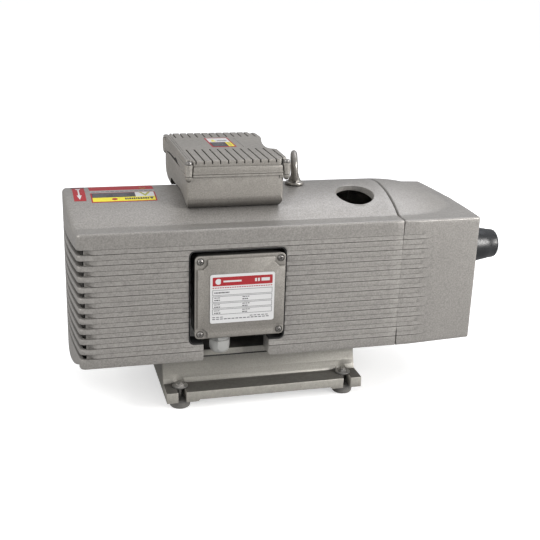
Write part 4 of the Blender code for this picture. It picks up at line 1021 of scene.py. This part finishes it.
def raised_outline():
    """Raised panel with a chamfered pocket at each corner."""
    left, right = TERM_LO.x + 3.0, TERM_HI.x - 1.6
    low, high = TERM_LO.z + 1.8, TERM_HI.z - 3.6
    far, near = 12.0, 6.8   # pocket size, and where its chamfer starts
    return [
        (left + far, low), (right - far, low), (right - far, low + near),
        (right - near, low + far), (right, low + far), (right, high - far),
        (right - near, high - far), (right - far, high - near), (right - far, high),
        (left + far, high), (left + far, high - near), (left + near, high - far),
        (left, high - far), (left, low + far), (left + near, low + far),
        (left + far, low + near),
    ]


lid = prism(rounded_rect(TERM_LO.x, TERM_HI.x, TERM_LO.z, TERM_HI.z, 5.5, 8), "Y",
            FRONT + 2.2, TERM_HI.y)
lid = join(bevelled(lid, 0.9, 3, 60),
           bevelled(prism(raised_outline(), "Y", FRONT, FRONT + 3.2), 0.5, 2, 30.0))
top_grooves = [box(TERM_LO.x + 9, TERM_HI.x - 9, FRONT + 3.0 + step, FRONT + 3.5 + step,
                   TERM_HI.z - 0.35, TERM_HI.z + 2.0) for step in (0.0, 1.3)]
SCREW_POCKET = [(0, -130), (4.4, -130), (4.6, FRONT + 3.1), (0, FRONT + 3.1)]
lid = cut(lid, merged(*top_grooves),
          merged(*[turned(SCREW_POCKET, centre, 32, "Y") for centre in TERM_SCREWS]),
          rods(TERM_SCREWS, 2.1, -131, -100, 20, "Y"))
piece("terminal_cover", lid, "box_paint", "terminal_box_lid", sharp=30)
seal = cut(prism(tray_outline(0, 5.0), "Y", -106.1, -104.6),
           prism(tray_outline(11, 6.0), "Y", -120.0, -90.0),
           rods(TERM_SCREWS, 2.1, -112, -95, 16, "Y"))
piece("terminal_seal", seal, "seal_rubber", "terminal_box_gasket")


def cross_screw(centre, turn):
    y = FRONT + 0.6
    screw = turned([(0, y), (1.6, y + 0.06), (2.7, y + 0.5), (3.4, y + 1.3), (3.5, y + 1.9),
                    (3.2, y + 2.2), (1.7, y + 2.2), (1.7, -93.6), (1.1, -93.0), (0, -93.0)],
                   centre, 32, "Y")
    for angle in (turn, turn + 90):
        bar_at = Matrix.Translation(centre) @ Matrix.Rotation(math.radians(angle), 4, "Y")
        screw = cut(screw, moved(box(-2.3, 2.3, y - 3.0, y + 1.7, -0.55, 0.55), bar_at))
    return screw


for i, (centre, turn) in enumerate(zip(TERM_SCREWS, (20, 47, 8, 62)), 1):
    piece("terminal_screw_%d" % i, cross_screw(centre, turn), "dull_screw",
          "terminal_lid_screw_%d" % i)

# ------------------------------------------------------------ rating plate
# white plate, coloured header, ruled rows with short generic marks; print depths are
# given from the node's front, and many places as fractions of the plate
FACE_Y = PLATE_LO.y
PLATE_W, PLATE_H = PLATE_HI.x - PLATE_LO.x, PLATE_HI.z - PLATE_LO.z
MARGIN = 0.035
piece("rating_plate",
      prism(rounded_rect(PLATE_LO.x, PLATE_HI.x, PLATE_LO.z, PLATE_HI.z, 2.6, 6), "Y",
            FACE_Y + 0.12, PLATE_HI.y), "plate_white", "nameplate")


def across(part):
    return PLATE_LO.x + PLATE_W * part


def down(part):
    return PLATE_HI.z - PLATE_H * part


def mark(left, right, low, high, front=0.07, back=0.10):
    return box(left, right, FACE_Y + front, FACE_Y + back, low, high)


def part_mark(left, right, low, high, **depths):
    """Mark placed by fractions of the plate."""
    return mark(across(left), across(right), down(low), down(high), **depths)


def mark_row(start, pitch, width, count, low, high):
    return [part_mark(start + pitch * k, start + pitch * k + width, low, high)
            for k in range(count)]


def dashes(x, z, widths, tall):
    row = []
    for width in widths:
        row.append(mark(x, x + width, z, z + tall))
        x += width + 0.55
    return row


header = rounded_rect(across(MARGIN), across(0.965), down(0.235), down(0.055), 1.0, 4)
piece("plate_header", prism(header, "Y", FACE_Y + 0.07, FACE_Y + 0.11), "print_red")
EMBLEM_BARS = [(0.20, 0.48, 0.162, 0.128), (0.69, 0.72, 0.175, 0.110),
               (0.735, 0.765, 0.175, 0.110), (0.79, 0.92, 0.172, 0.108)]
emblem = prism(arc(across(0.125), down(0.145), 3.6, 40, 320, 20), "Y",
               FACE_Y + 0.03, FACE_Y + 0.065)
piece("plate_emblem", merged(emblem, *[part_mark(*bar, front=0.03, back=0.065)
                                       for bar in EMBLEM_BARS]), "label_white")
piece("plate_subline", merged(*mark_row(MARGIN, 0.0375, 0.027, 25, 0.279, 0.262)), "print_red")

ROW_PARTS = (0.305, 0.435, 0.575, 0.700, 0.830)
RULE_W = 0.55
rules = []
left, right = across(MARGIN), across(0.965)
for start, end in zip(ROW_PARTS, ROW_PARTS[1:]):
    top, bottom = down(start + 0.008), down(end - 0.008)
    rules += [mark(left, right, top - RULE_W, top), mark(left, right, bottom, bottom + RULE_W),
              mark(left, left + RULE_W, bottom, top), mark(right - RULE_W, right, bottom, top)]
piece("plate_rules", merged(*rules), "print_rule")

marks = dashes(across(0.065), down(0.385),
               (1.2, 1.2, 1.0, 1.4, 0.9, 1.3, 1.1, 1.0, 1.2, 1.2, 0.9), 1.7)
for r, start in enumerate(ROW_PARTS[1:4]):
    upper, lower = down(start + 0.048), down(start + 0.098)
    marks += dashes(across(0.065), upper, (2.0, 1.4, 2.3 - 0.3 * r), 0.9)
    marks += dashes(across(0.065), lower, (1.6, 2.6, 1.3 + 0.4 * r), 1.25)
    marks += dashes(across(0.50), upper, (3.4, 1.6 + 0.5 * r, 2.2), 0.9)
    marks += dashes(across(0.50), lower, (2.2, 1.5, 2.0 - 0.4 * r), 1.25)
piece("plate_marks", merged(*marks), "print_dark")
piece("plate_footer", merged(*mark_row(MARGIN, 0.06, 0.045, 15, 0.925, 0.905),
                             *mark_row(0.62, 0.06, 0.045, 5, 0.885, 0.868),
                             *mark_row(MARGIN, 0.06, 0.045, 3, 0.885, 0.868)), "print_rule")

# ------------------------------------------------------------ cable gland
GLAND_TURN = 10.0
FITTING_TURN = [(0, 96.5), (11.3, 96.5), (12.75, 98.0), (12.75, 110), (0, 110)]
NUT_DOME = [(0, 79.4), (7.2, 79.5), (9.0, 80.2), (10.6, 81.5), (11.5, 83.0), (12.0, 84.6),
            (12.9, 86.2), (13.5, 87.6), (13.5, 95.4), (12.6, 96.6), (0, 96.6)]
NUT_BORE = [(0, 70), (5.8, 70), (5.8, 84.0), (8.2, 84.0), (8.2, 99), (0, 99)]
fitting_top = node_box("cable_gland_body")[1].z - 0.1
fitting = clip(prism(hexagon(GLAND.x, GLAND.y, 22.0, GLAND_TURN), "Z", 97.0, TERM_LO.z + 1.2),
               turned(FITTING_TURN, GLAND_AT, 48))
fitting = join(fitting, rod(7.8, 84.5, fitting_top, GLAND_AT, 40))
fitting = cut(fitting, rod(5.6, 70, 130, GLAND_AT, 32))
piece("gland_fitting", fitting, "grey_polyamide", "cable_gland_body", sharp=28)
nut = clip(prism(hexagon(GLAND.x, GLAND.y, 23.2, GLAND_TURN), "Z", 78.0, 96.6),
           turned(NUT_DOME, GLAND_AT, 64))
nut = cut(nut, turned(NUT_BORE, GLAND_AT, 40))
piece("gland_dome_nut", nut, "grey_polyamide", "cable_gland_nut", sharp=26)

# ------------------------------------------------------------ capacitor box
BOX_LEFT, BOX_RIGHT = CBOX_LO.x, CAP_HI.x - 7.2
BOX_FRONT, BOX_BACK = CBOX_LO.y, 101.5
BOX_TOP = CBOX_HI.z
CAP_SCREWS = [(x, y, 0) for y in (BOX_FRONT + 1.5, BOX_BACK + 1.2)
              for x in (BOX_LEFT + 1.5, 22.8)]
SADDLE_R = ARCH_R + 1.0   # the underside stands 1 mm off the hood's arch

# y, z of the box seen from its end: front wall, saddle, back wall
side_view = [
    (BOX_FRONT, BOX_TOP), (BOX_FRONT, 270.0), (BOX_FRONT + 0.15, 267.6),
    (BOX_FRONT + 0.8, 263.6), (BOX_FRONT + 1.9, 260.0), (BOX_FRONT + 3.6, 256.8),
    (BOX_FRONT + 5.8, 254.2), (BOX_FRONT + 8.0, 252.4), (BOX_FRONT + 10.0, 251.4),
]
for k in range(1, 26):
    y = -56.0 + 116.0 * k / 25
    side_view.append((y, SIDE_TOP_Z + RISE + 1.0 - SADDLE_R
                      + math.sqrt(SADDLE_R * SADDLE_R - y * y)))
side_view += [
    (68.0, 250.6), (73.0, 251.2), (78.0, 252.5), (83.0, 254.3), (87.0, 256.3), (91.0, 259.0),
    (94.5, 262.4), (97.3, 266.4), (99.4, 271.0), (100.8, 277.0), (BOX_BACK, 284.0),
    (BOX_BACK, BOX_TOP),
]
# x, z of the box seen from the front
FRONT_VIEW = [
    (BOX_LEFT, 340.0), (BOX_LEFT, 262.0), (BOX_LEFT + 0.6, 256.0), (BOX_LEFT + 2.2, 251.0),
    (BOX_LEFT + 6.0, 240.0), (BOX_RIGHT - 9.0, 240.0), (BOX_RIGHT - 6.2, 247.6),
    (BOX_RIGHT - 4.0, 251.6), (BOX_RIGHT - 2.2, 255.4), (BOX_RIGHT - 0.8, 259.6),
    (BOX_RIGHT, 265.0), (BOX_RIGHT, 340.0),
]
# x, y, corner radius of the box seen from above
PLAN = [(BOX_LEFT, BOX_FRONT, 1.6), (BOX_RIGHT, BOX_FRONT, 6.0), (BOX_RIGHT, BOX_BACK, 6.0),
        (BOX_LEFT, BOX_BACK, 2.4)]
HOLLOW = [(BOX_FRONT + 3.5, 330.0), (BOX_FRONT + 3.5, 270.0), (BOX_FRONT + 9.0, 268.5),
          (BOX_BACK - 9.0, 268.5), (BOX_BACK - 3.5, 274.0), (BOX_BACK - 3.5, 330.0)]
UNDERCUT = [(-2.0, 230.0, 0), (-2.0, 261.5, 2), (60.0, 261.5, 4), (66.0, 250.0, 0),
            (68.0, 230.0, 0)]
BOSS = [(0, 284.4), (1.6, 284.7), (2.9, 285.9), (3.8, 287.6), (4.2, 289.6),
        (4.2, BOX_TOP - 0.01), (0, BOX_TOP - 0.01)]

tray = clip(prism(side_view, "X", BOX_LEFT - 0.5, BOX_RIGHT + 0.5),
            prism(FRONT_VIEW, "Y", BOX_FRONT - 12, BOX_BACK + 12),
            prism(rounded(PLAN, 7), "Z", 200.0, 320.0))
tray = cut(tray, prism(HOLLOW, "X", BOX_LEFT + 5.0, BOX_RIGHT - 5.0),
           prism(rounded(UNDERCUT), "X", BOX_LEFT - 20, BOX_RIGHT + 20))
# the side walls are drawn in slightly between the corners
for x, side in ((BOX_LEFT, -1), (BOX_RIGHT, 1)):
    outside, inside = x + side * 4, x - side * 0.9
    tray = cut(tray, loft([[(outside, -46.0, z), (outside, 78.0, z), (x, 78.0, z),
                            (inside, 74.0, z), (inside, -42.0, z), (x, -46.0, z)]
                           for z in (236.0, 283.5)]))
for centre in CAP_SCREWS:
    x, y = centre[:2]
    tray = join(tray, box(min(x, BOX_RIGHT - 6.0), max(x, BOX_LEFT + 6.0),
                          min(y - 2.5, BOX_BACK - 6.0), max(y + 2.5, BOX_FRONT + 6.0),
                          287.5, BOX_TOP - 0.02),
                turned(BOSS, centre, 32))
tray = cut(tray, rods(CAP_SCREWS, 1.9, 286.8, 300, 16), rod(7, 240, 290, CAPACITOR_HOLE, 24))
piece("capacitor_tray", tray, "box_paint", "capacitor_box_body", sharp=30)


def box_outline(margin, radius):
    return rounded_rect(BOX_LEFT + margin, BOX_RIGHT - margin, BOX_FRONT + margin,
                        BOX_BACK - margin, radius)


seal = cut(prism(box_outline(1.0, 6.0), "Z", BOX_TOP + 0.3, BOX_TOP + 3.0),
           prism(box_outline(8.0, 5.0), "Z", 280.0, 300.0), rods(CAP_SCREWS, 2.4, 285, 299, 16))
piece("capacitor_seal", seal, "seal_rubber", "capacitor_box_gasket")

# lid: body and top plate; x, y, corner radius, counter-clockwise from the front left
CAP_TOP = CAP_HI.z
left, right, front, back = CAP_LO.x, CAP_HI.x, CAP_LO.y, CAP_HI.y
LID_PLAN = [
    (left + 9.0, front, 1.5), (right - 9.8, front, 1.5), (right - 8.8, front + 4.0, 2.5),
    (right - 1.6, front + 8.5, 2), (right - 0.4, front + 12.0, 2), (right, -6.0, 3),
    (right - 8.0, -2.0, 4), (right - 10.5, 5.0, 6), (right - 10.5, 14.0, 10),
    (right - 9.4, 25.0, 20), (right - 7.0, 40.0, 20), (right - 4.0, 53.0, 20),
    (right - 1.6, 63.0, 20), (right - 0.5, 74.0, 20), (right - 0.8, back - 13.0, 3),
    (right - 2.2, back - 9.0, 2), (right - 9.0, back - 4.5, 2.5), (right - 10.0, back, 1.5),
    (left + 9.0, back, 1.5), (left + 8.0, back - 4.5, 2.5), (left + 1.2, back - 9.0, 2),
    (left, back - 13.0, 2), (left, 72.0, 30), (left + 1.5, 55.0, 20), (left + 1.5, 5.0, 20),
    (left, -12.0, 30), (left, front + 13.0, 2), (left + 1.2, front + 9.0, 2),
    (left + 8.0, front + 4.0, 2.5),
]
TOP_PLAN = [
    (left + 9.0, front + 3.6, 1.5), (right - 11.5, front + 3.6, 1.5),
    (right - 11.0, front + 10.0, 3), (right - 3.0, front + 12.0, 2), (right - 1.5, -7.5, 3),
    (right - 9.0, -3.5, 4), (right - 12.0, 4.0, 8), (right - 12.0, 15.0, 20),
    (right - 11.0, 26.0, 20), (right - 8.6, 41.0, 20), (right - 5.6, 54.0, 20),
    (right - 3.2, 64.0, 20), (right - 2.0, 74.0, 20), (right - 2.5, back - 12.0, 2),
    (right - 11.0, back - 10.5, 3), (right - 11.5, back - 0.6, 1.5),
    (left + 9.0, back - 0.6, 1.5), (left + 8.5, back - 10.5, 3), (left + 2.2, back - 12.0, 2),
    (left + 2.6, 40.0, 40), (left + 2.2, front + 12.0, 2), (left + 8.5, front + 10.0, 3),
]
# inset and height of each ring
LID_LEVELS = [
    (0.7, BOX_TOP + 0.25), (0.3, BOX_TOP + 0.4), (0.2, BOX_TOP + 2.6), (1.0, BOX_TOP + 2.85),
    (1.0, BOX_TOP + 3.2), (0.1, BOX_TOP + 3.45), (0.0, BOX_TOP + 5.0), (0.5, BOX_TOP + 5.25),
    (0.5, BOX_TOP + 6.4), (0.9, BOX_TOP + 6.7), (0.9, CAP_TOP - 8.6), (1.2, CAP_TOP - 7.6),
    (1.9, CAP_TOP - 7.15), (2.6, CAP_TOP - 7.0),
]
TOP_LEVELS = [(0.0, CAP_TOP - 9.5), (0.0, CAP_TOP - 0.8), (0.12, CAP_TOP - 0.35),
              (0.35, CAP_TOP - 0.1), (0.8, CAP_TOP)]
# arched relief under the left edge: y, height over the box
RELIEF = [(-54.0, -3), (-49.0, 0.3), (-38.0, 3.2), (-20.0, 5.2), (10.0, 6.2), (17.9, 6.3),
          (18.0, 5.0), (45.0, 4.6), (66.0, 3.4), (76.0, 0.3), (79.0, -3)]
LID_BOSS = [(0, BOX_TOP + 0.5), (4.3, BOX_TOP + 0.5), (4.6, BOX_TOP + 0.8),
            (4.6, CAP_TOP - 5.2), (4.3, CAP_TOP - 4.7), (3.4, CAP_TOP - 4.5),
            (0, CAP_TOP - 4.5)]
CAP_SCREW = [(0, 287.1), (1.6, 287.5), (1.6, CAP_TOP - 4.2), (3.4, CAP_TOP - 4.2),
             (3.8, CAP_TOP - 3.9), (3.8, CAP_TOP - 2.6), (3.6, CAP_TOP - 1.7),
             (3.0, CAP_TOP - 1.1), (2.4, CAP_TOP - 0.9), (0, CAP_TOP - 0.9)]
GROOVE_XS = [left + 12.8 + 9.7 * k for k in range(12)]
GROOVE_ENDS = [-1.5] * 11 + [-12.0]


def stacked(plan, levels):
    return loft([[(x, y, z) for x, y in rounded(inset(plan, distance))]
                 for distance, z in levels])


def groove(x, start, end):
    """Cutter along Y with a flared mouth and a narrowed bottom."""
    half, depth = 0.75, 4.2
    flank = [(-half - 0.5, 3), (-half - 0.35, -0.05), (-half, -0.5), (-half, -depth + 0.5),
             (-half + 0.3, -depth)]
    return prism([(x + step, CAP_TOP + height) for step, height in flank + mirrored(flank)],
                 "Y", start, end)


lid = join(stacked(LID_PLAN, LID_LEVELS), stacked(TOP_PLAN, TOP_LEVELS))
lid = cut(
    lid,
    merged(*[groove(x, front - 5, end) for x, end in zip(GROOVE_XS, GROOVE_ENDS)],
           *[groove(x, 75.0, back + 5) for x in GROOVE_XS]),
    prism(rounded_rect(BOX_LEFT + 7.0, BOX_RIGHT - 9.0, BOX_FRONT + 6.0, BOX_BACK - 6.0, 5.0),
          "Z", 280.0, CAP_TOP - 6.6),
    prism(box_outline(-0.4, 4.0), "Z", 280.0, BOX_TOP + 3.25),
    # two lines along the left edge, then a scribed line on the top
    merged(*[box(left + start, left + end, front + 14.0, back - 14.0, CAP_TOP - deep, CAP_TOP + 2)
             for start, end, deep in ((4.6, 5.1, 0.5), (7.4, 7.8, 0.4))]),
    box(-12.6, -12.2, 8.0, 66.0, CAP_TOP - 0.3, CAP_TOP + 2),
    prism([(y, BOX_TOP + height) for y, height in RELIEF], "X", left - 5, left + 4.5))
lid = join(lid, *[turned(LID_BOSS, centre, 40) for centre in CAP_SCREWS])
lid = cut(lid, rods(CAP_SCREWS, 2.0, 285, 330, 20))
piece("capacitor_cover", lid, "box_paint", "capacitor_box_lid", sharp=30)
for i, centre in enumerate(CAP_SCREWS):
    socket = prism(hexagon(*centre[:2], 3.0, 15.0 * i), "Z", CAP_TOP - 3.0, CAP_TOP + 2)
    piece("capacitor_screw_%d" % (i + 1), cut(turned(CAP_SCREW, centre, 40), socket),
          "dull_screw", "capacitor_lid_screw_%d" % (i + 1), sharp=28)

# ------------------------------------------------------------ regulator knob
# radius, distance along X from the outer face
KNOB_PROFILE = [
    (0, -0.9), (6.0, -0.85), (9.0, -0.5), (11.0, -0.15), (13.0, 0), (15.4, -0.4), (17.0, -1.2),
    (17.9, -2.2), (18.5, -4.0), (19.6, -13.0), (19.9, -13.4), (21.2, -21.5), (24.25, -37.8),
    (24.4, -38.9), (24.2, -39.6), (23.4, -39.9), (23.4, -40.7), (11.6, -40.7), (11.6, -30.5),
    (3.6, -30.5), (3.6, -54.5), (0, -54.5),
]
knob_face = node_box("regulator_knob")[1].x
piece("regulator_handle", turned(KNOB_PROFILE, (knob_face, KNOB.y, KNOB.z), 96, "X"),
      "slate_plastic", "regulator_knob", sharp=40, body="regulator_knob")

# ------------------------------------------------------------ suction port
low, high = (corner.z for corner in node_box("inlet_port"))
socket = [(11.5, low), (26.0, low), (26.0, low + 6.7), (21.0, low + 8.2), (21.0, high - 1.0),
          (20.2, high), (18.2, high)]
for k in range(11):   # thread down the bore
    z = high - 0.9 - 1.5 * k
    socket += [(17.2, z), (17.9, z - 0.75)]
socket += [(17.2, low + 5.2), (11.5, low + 5.2)]
piece("suction_socket", turned(socket, (PORT.x, PORT.y, 0), 64, ring=True), "cast_alloy",
      "inlet_port", sharp=25)


# ------------------------------------------------------------ labels
def decal(name, outlines, finish, lift, height=arch_z):
    """Thin film on a surface of height(y), cut into strips so that it follows it."""
    films = []
    for outline in outlines:
        film = bmesh.new()
        film.faces.new([film.verts.new((x, y, 0.0)) for x, y in outline])
        depths = [y for x, y in outline]
        y = math.floor(min(depths) / 3.0) * 3.0
        while y < max(depths):
            bmesh.ops.bisect_plane(film, geom=film.verts[:] + film.edges[:] + film.faces[:],
                                   plane_co=(0, y, 0), plane_no=(0, 1, 0))
            y += 3.0
        bmesh.ops.recalc_face_normals(film, faces=film.faces)
        extruded = bmesh.ops.extrude_face_region(film, geom=film.faces[:])
        upper = {item for item in extruded["geom"] if isinstance(item, bmesh.types.BMVert)}
        for vert in film.verts:
            vert.co.z = height(vert.co.y) + (lift if vert in upper else lift - 0.10)
        films.append(film)
    piece(name, merged(*films), finish)


# arrow label at the hood's closed end
left, right = HOOD_LEFT_X + 4.2, HOOD_LEFT_X + 18.4
middle = (left + right) / 2 - 0.3
# x from the arrow's middle, y: head at the front, tail at the back
ARROW = [(-0.8, 4.0), (-0.9, -17.5), (-3.0, -17.5), (0, -30.0), (3.0, -17.5), (0.9, -17.5),
         (0.8, 4.0), (3.4, 11.5), (2.6, 12.0), (0, 9.0), (-2.6, 12.0), (-3.4, 11.5)]
decal("arrow_label", [rect(left, right, -33.4, 26.0)], "print_red", 0.14)
decal("arrow_band", [rect(left - 1.0, right + 0.6, 15.0, 24.0)], "print_dark", 0.20)
decal("arrow_sign", [[(middle + x, y) for x, y in ARROW]], "label_white", 0.24)

# notice: yellow bar, dark and white panels, grey strip and a plain field behind
left, right = HOOD_LEFT_X + 24.2, HOOD_LEFT_X + 101.6
FRONT_Y, BAR_FRONT, BAR_BACK, PANEL_BACK = -38.3, -36.6, -26.6, -12.6
STRIP_FRONT, STRIP_BACK, BACK_Y = -11.6, -1.4, 25.0
decal("notice_film", [rect(left, right, FRONT_Y, STRIP_FRONT),
                      rect(left, right + 0.6, STRIP_BACK, BACK_Y)], "print_red", 0.14)
decal("notice_strip", [rect(left, right, STRIP_FRONT, STRIP_BACK)], "print_grey", 0.14)
decal("notice_dark", [rect(left + 1.6, right - 24.5, BAR_BACK, PANEL_BACK)], "print_dark", 0.22)
decal("notice_white", [rect(right - 24.3, right - 1.6, BAR_BACK, PANEL_BACK)],
      "label_white", 0.22)
decal("notice_yellow", [rect(left + 1.6, right - 1.6, BAR_FRONT, BAR_BACK)],
      "print_yellow", 0.22)
middle = right - 12.5
edge_y = PANEL_BACK - 0.6
decal("notice_mark", [
    [(middle - 7.0, edge_y), (middle, BAR_BACK + 1.0), (middle + 7.0, edge_y),
     (middle + 3.8, edge_y), (middle, BAR_BACK + 6.2), (middle - 3.8, edge_y)],
    [(middle - 5.0, 6.5), (middle, 2.0), (middle + 5.0, 6.5), (middle + 3.0, 6.5),
     (middle, 4.0), (middle - 3.0, 6.5)],
], "print_olive", 0.32)
angles = [2 * math.pi * k / 16 for k in range(16)]
decal("notice_oval", [[(left + 27.5 + 3.4 * math.cos(angle),
                        (BAR_FRONT + BAR_BACK) / 2 + 2.6 * math.sin(angle))
                       for angle in angles]], "print_red", 0.32)
word = []
x = left + 39.5
for width in (2.0, 1.6, 2.2, 1.8, 2.0, 1.5, 2.2, 2.6, 1.9, 2.3, 1.6):
    word.append(rect(x, x + width, BAR_FRONT + 3.2, BAR_BACK - 2.6))
    x += width + 0.7
word.append([(right - 9.0, BAR_BACK - 2.0), (right - 6.0, BAR_FRONT + 2.2),
             (right - 3.0, BAR_BACK - 2.0)])
decal("notice_word", word, "print_dark", 0.32)
text = [rect(left + 1.5 + 5.8 * k, left + 1.5 + 5.8 * k + 4.4, STRIP_FRONT + 3.0,
             STRIP_FRONT + 5.2) for k in range(13)]
for start, widths in ((3.0, (15.0, 19.0, 23.0)), (26.0, (20.0, 17.0, 20.0))):
    text += [rect(left + start, left + start + width, BAR_BACK + 3.0 + 3.6 * k,
                  BAR_BACK + 4.0 + 3.6 * k) for k, width in enumerate(widths)]
decal("notice_lines", text, "print_rule", 0.32)


# label on the capacitor lid
def lid_top(y):
    return CAP_TOP


left, right, front, back = -51.8, -21.0, 10.2, 68.6
decal("lid_film", [rect(left, right, front, back)], "print_red", 0.14, lid_top)
decal("lid_white", [rect(left + 1.8, right - 1.8, 40.2, back - 3.0)], "label_white", 0.22,
      lid_top)
decal("lid_dark", [rect(left + 1.8, -30.6, front + 3.0, 39.4)], "print_dark", 0.22, lid_top)
decal("lid_yellow", [rect(-30.0, right - 1.8, front + 3.0, 39.4),
                     [(-46.5, 44.0), (-40.5, 44.0), (-43.5, 60.0)]],
      "print_yellow", 0.30, lid_top)
text = [rect(start, end, front + 8.0 + 5.4 * k, front + tall + 5.4 * k)
        for start, end, tall in ((left + 4.0, left + 17.5, 9.6), (-28.2, right - 4.0, 10.0))
        for k in range(4)]
decal("lid_lines", text + [rect(-38.5, right - 5.0, 47.0, 50.5)], "print_rule", 0.36, lid_top)

# ------------------------------------------------------------ floor
# the floor looks paler to the camera than it is to the light it throws back
FLOOR_TONE = (0.34, 0.80)   # to light, to the camera
FLOOR_GLOW = 0.52           # emission seen by the camera only
FLOOR_REACH = 30.0          # metres from the middle to each edge
floor_material, tree, principled = new_material("pale_floor")
principled.inputs["Roughness"].default_value = 0.8
principled.inputs["Specular IOR Level"].default_value = 0.1
principled.inputs["Emission Color"].default_value = (1.0, 1.0, 1.0, 1.0)
seen = add_node(tree, "ShaderNodeLightPath", {}).outputs["Is Camera Ray"]
tone = add_node(tree, "ShaderNodeMapRange",
                {"To Min": FLOOR_TONE[0], "To Max": FLOOR_TONE[1], "Value": seen})
feed(tree, principled.inputs["Base Color"], grey(tree, tone.outputs["Result"]))
feed(tree, principled.inputs["Emission Strength"], calc(tree, "MULTIPLY", seen, FLOOR_GLOW))
floor_data = bpy.data.meshes.new("floor")
floor_corners = [(x, y, 0) for x, y in rect(-FLOOR_REACH, FLOOR_REACH, -FLOOR_REACH, FLOOR_REACH)]
floor_data.from_pydata(floor_corners, [], [(0, 1, 2, 3)])
link_mesh("floor", floor_data, floor_material)

# ------------------------------------------------------------ world
# brighter overhead; plain white to the camera
SKY_HEIGHT, SKY_STRENGTH = (-0.1, 0.9), (0.26, 0.74)
SKY_COLOUR = (0.975, 0.98, 1.0, 1.0)
world = bpy.data.worlds.new("studio")
bpy.context.scene.world = world
world.use_nodes = True
tree = world.node_tree
background = tree.nodes.get("Background")
seen = add_node(tree, "ShaderNodeLightPath", {}).outputs["Is Camera Ray"]
coord = add_node(tree, "ShaderNodeTexCoord", {}).outputs["Generated"]
height = add_node(tree, "ShaderNodeSeparateXYZ", {0: coord}).outputs["Z"]
strength = add_node(tree, "ShaderNodeMix",
                    {0: seen, 2: remap(tree, height, SKY_HEIGHT, SKY_STRENGTH), 3: 1.0})
sky = mix_colour(tree, seen, SKY_COLOUR, (1.0, 1.0, 1.0, 1.0))
feed(tree, background.inputs["Color"], sky)
feed(tree, background.inputs["Strength"], strength.outputs[0])


# ------------------------------------------------------------ lights
def area_light(name, place, target, size, power, colour):
    """Rectangular light; places and sizes in metres, power in watts."""
    light = bpy.data.lights.new(name, "AREA")
    light.shape = "RECTANGLE"
    light.size, light.size_y = size
    light.energy = power
    light.color = colour
    obj = bpy.data.objects.new(name, light)
    bpy.context.scene.collection.objects.link(obj)
    obj.location = place
    aim = Vector(target) - Vector(place)
    obj.rotation_euler = aim.to_track_quat("-Z", "Y").to_euler()


area_light("overhead", place=(0.75, 0.45, 1.7), target=(0.05, 0.0, 0.2), size=(1.3, 1.1),
           power=10.0, colour=(0.91, 0.93, 1.0))
area_light("front_right", place=(1.70, -1.32, 0.80), target=(0.05, 0.0, 0.12), size=(1.0, 0.9),
           power=49.0, colour=(1.0, 0.985, 0.965))
area_light("left", place=(-1.75, -0.62, 0.85), target=(-0.1, 0.0, 0.2), size=(0.7, 0.9),
           power=20.0, colour=(1.0, 0.985, 0.96))

# ------------------------------------------------------------ camera
CAMERA_AT = Vector((-284.709, -1111.152, 541.605))
# the camera's own X, Y and Z axes
CAMERA_AXES = Matrix(((0.96569355, -0.25785822, 0.03074252),
                      (0.05542122, 0.3203035, 0.94569242),
                      (-0.2537015, -0.91154528, 0.32360585)))
camera_data = bpy.data.cameras.new("camera")
camera = bpy.data.objects.new("camera", camera_data)
bpy.context.scene.collection.objects.link(camera)
camera.matrix_world = (Matrix.Translation((CAMERA_AT - ORIGIN) * 0.001)
                       @ CAMERA_AXES.transposed().to_4x4())
camera_data.lens = 61.857
camera_data.sensor_width = 36.0
camera_data.sensor_fit = "HORIZONTAL"
camera_data.clip_start = 0.01
bpy.context.scene.camera = camera
view = bpy.context.scene.view_settings
view.view_transform = "Standard"
view.look = "None"
view.exposure = 0.0
view.gamma = 1.0
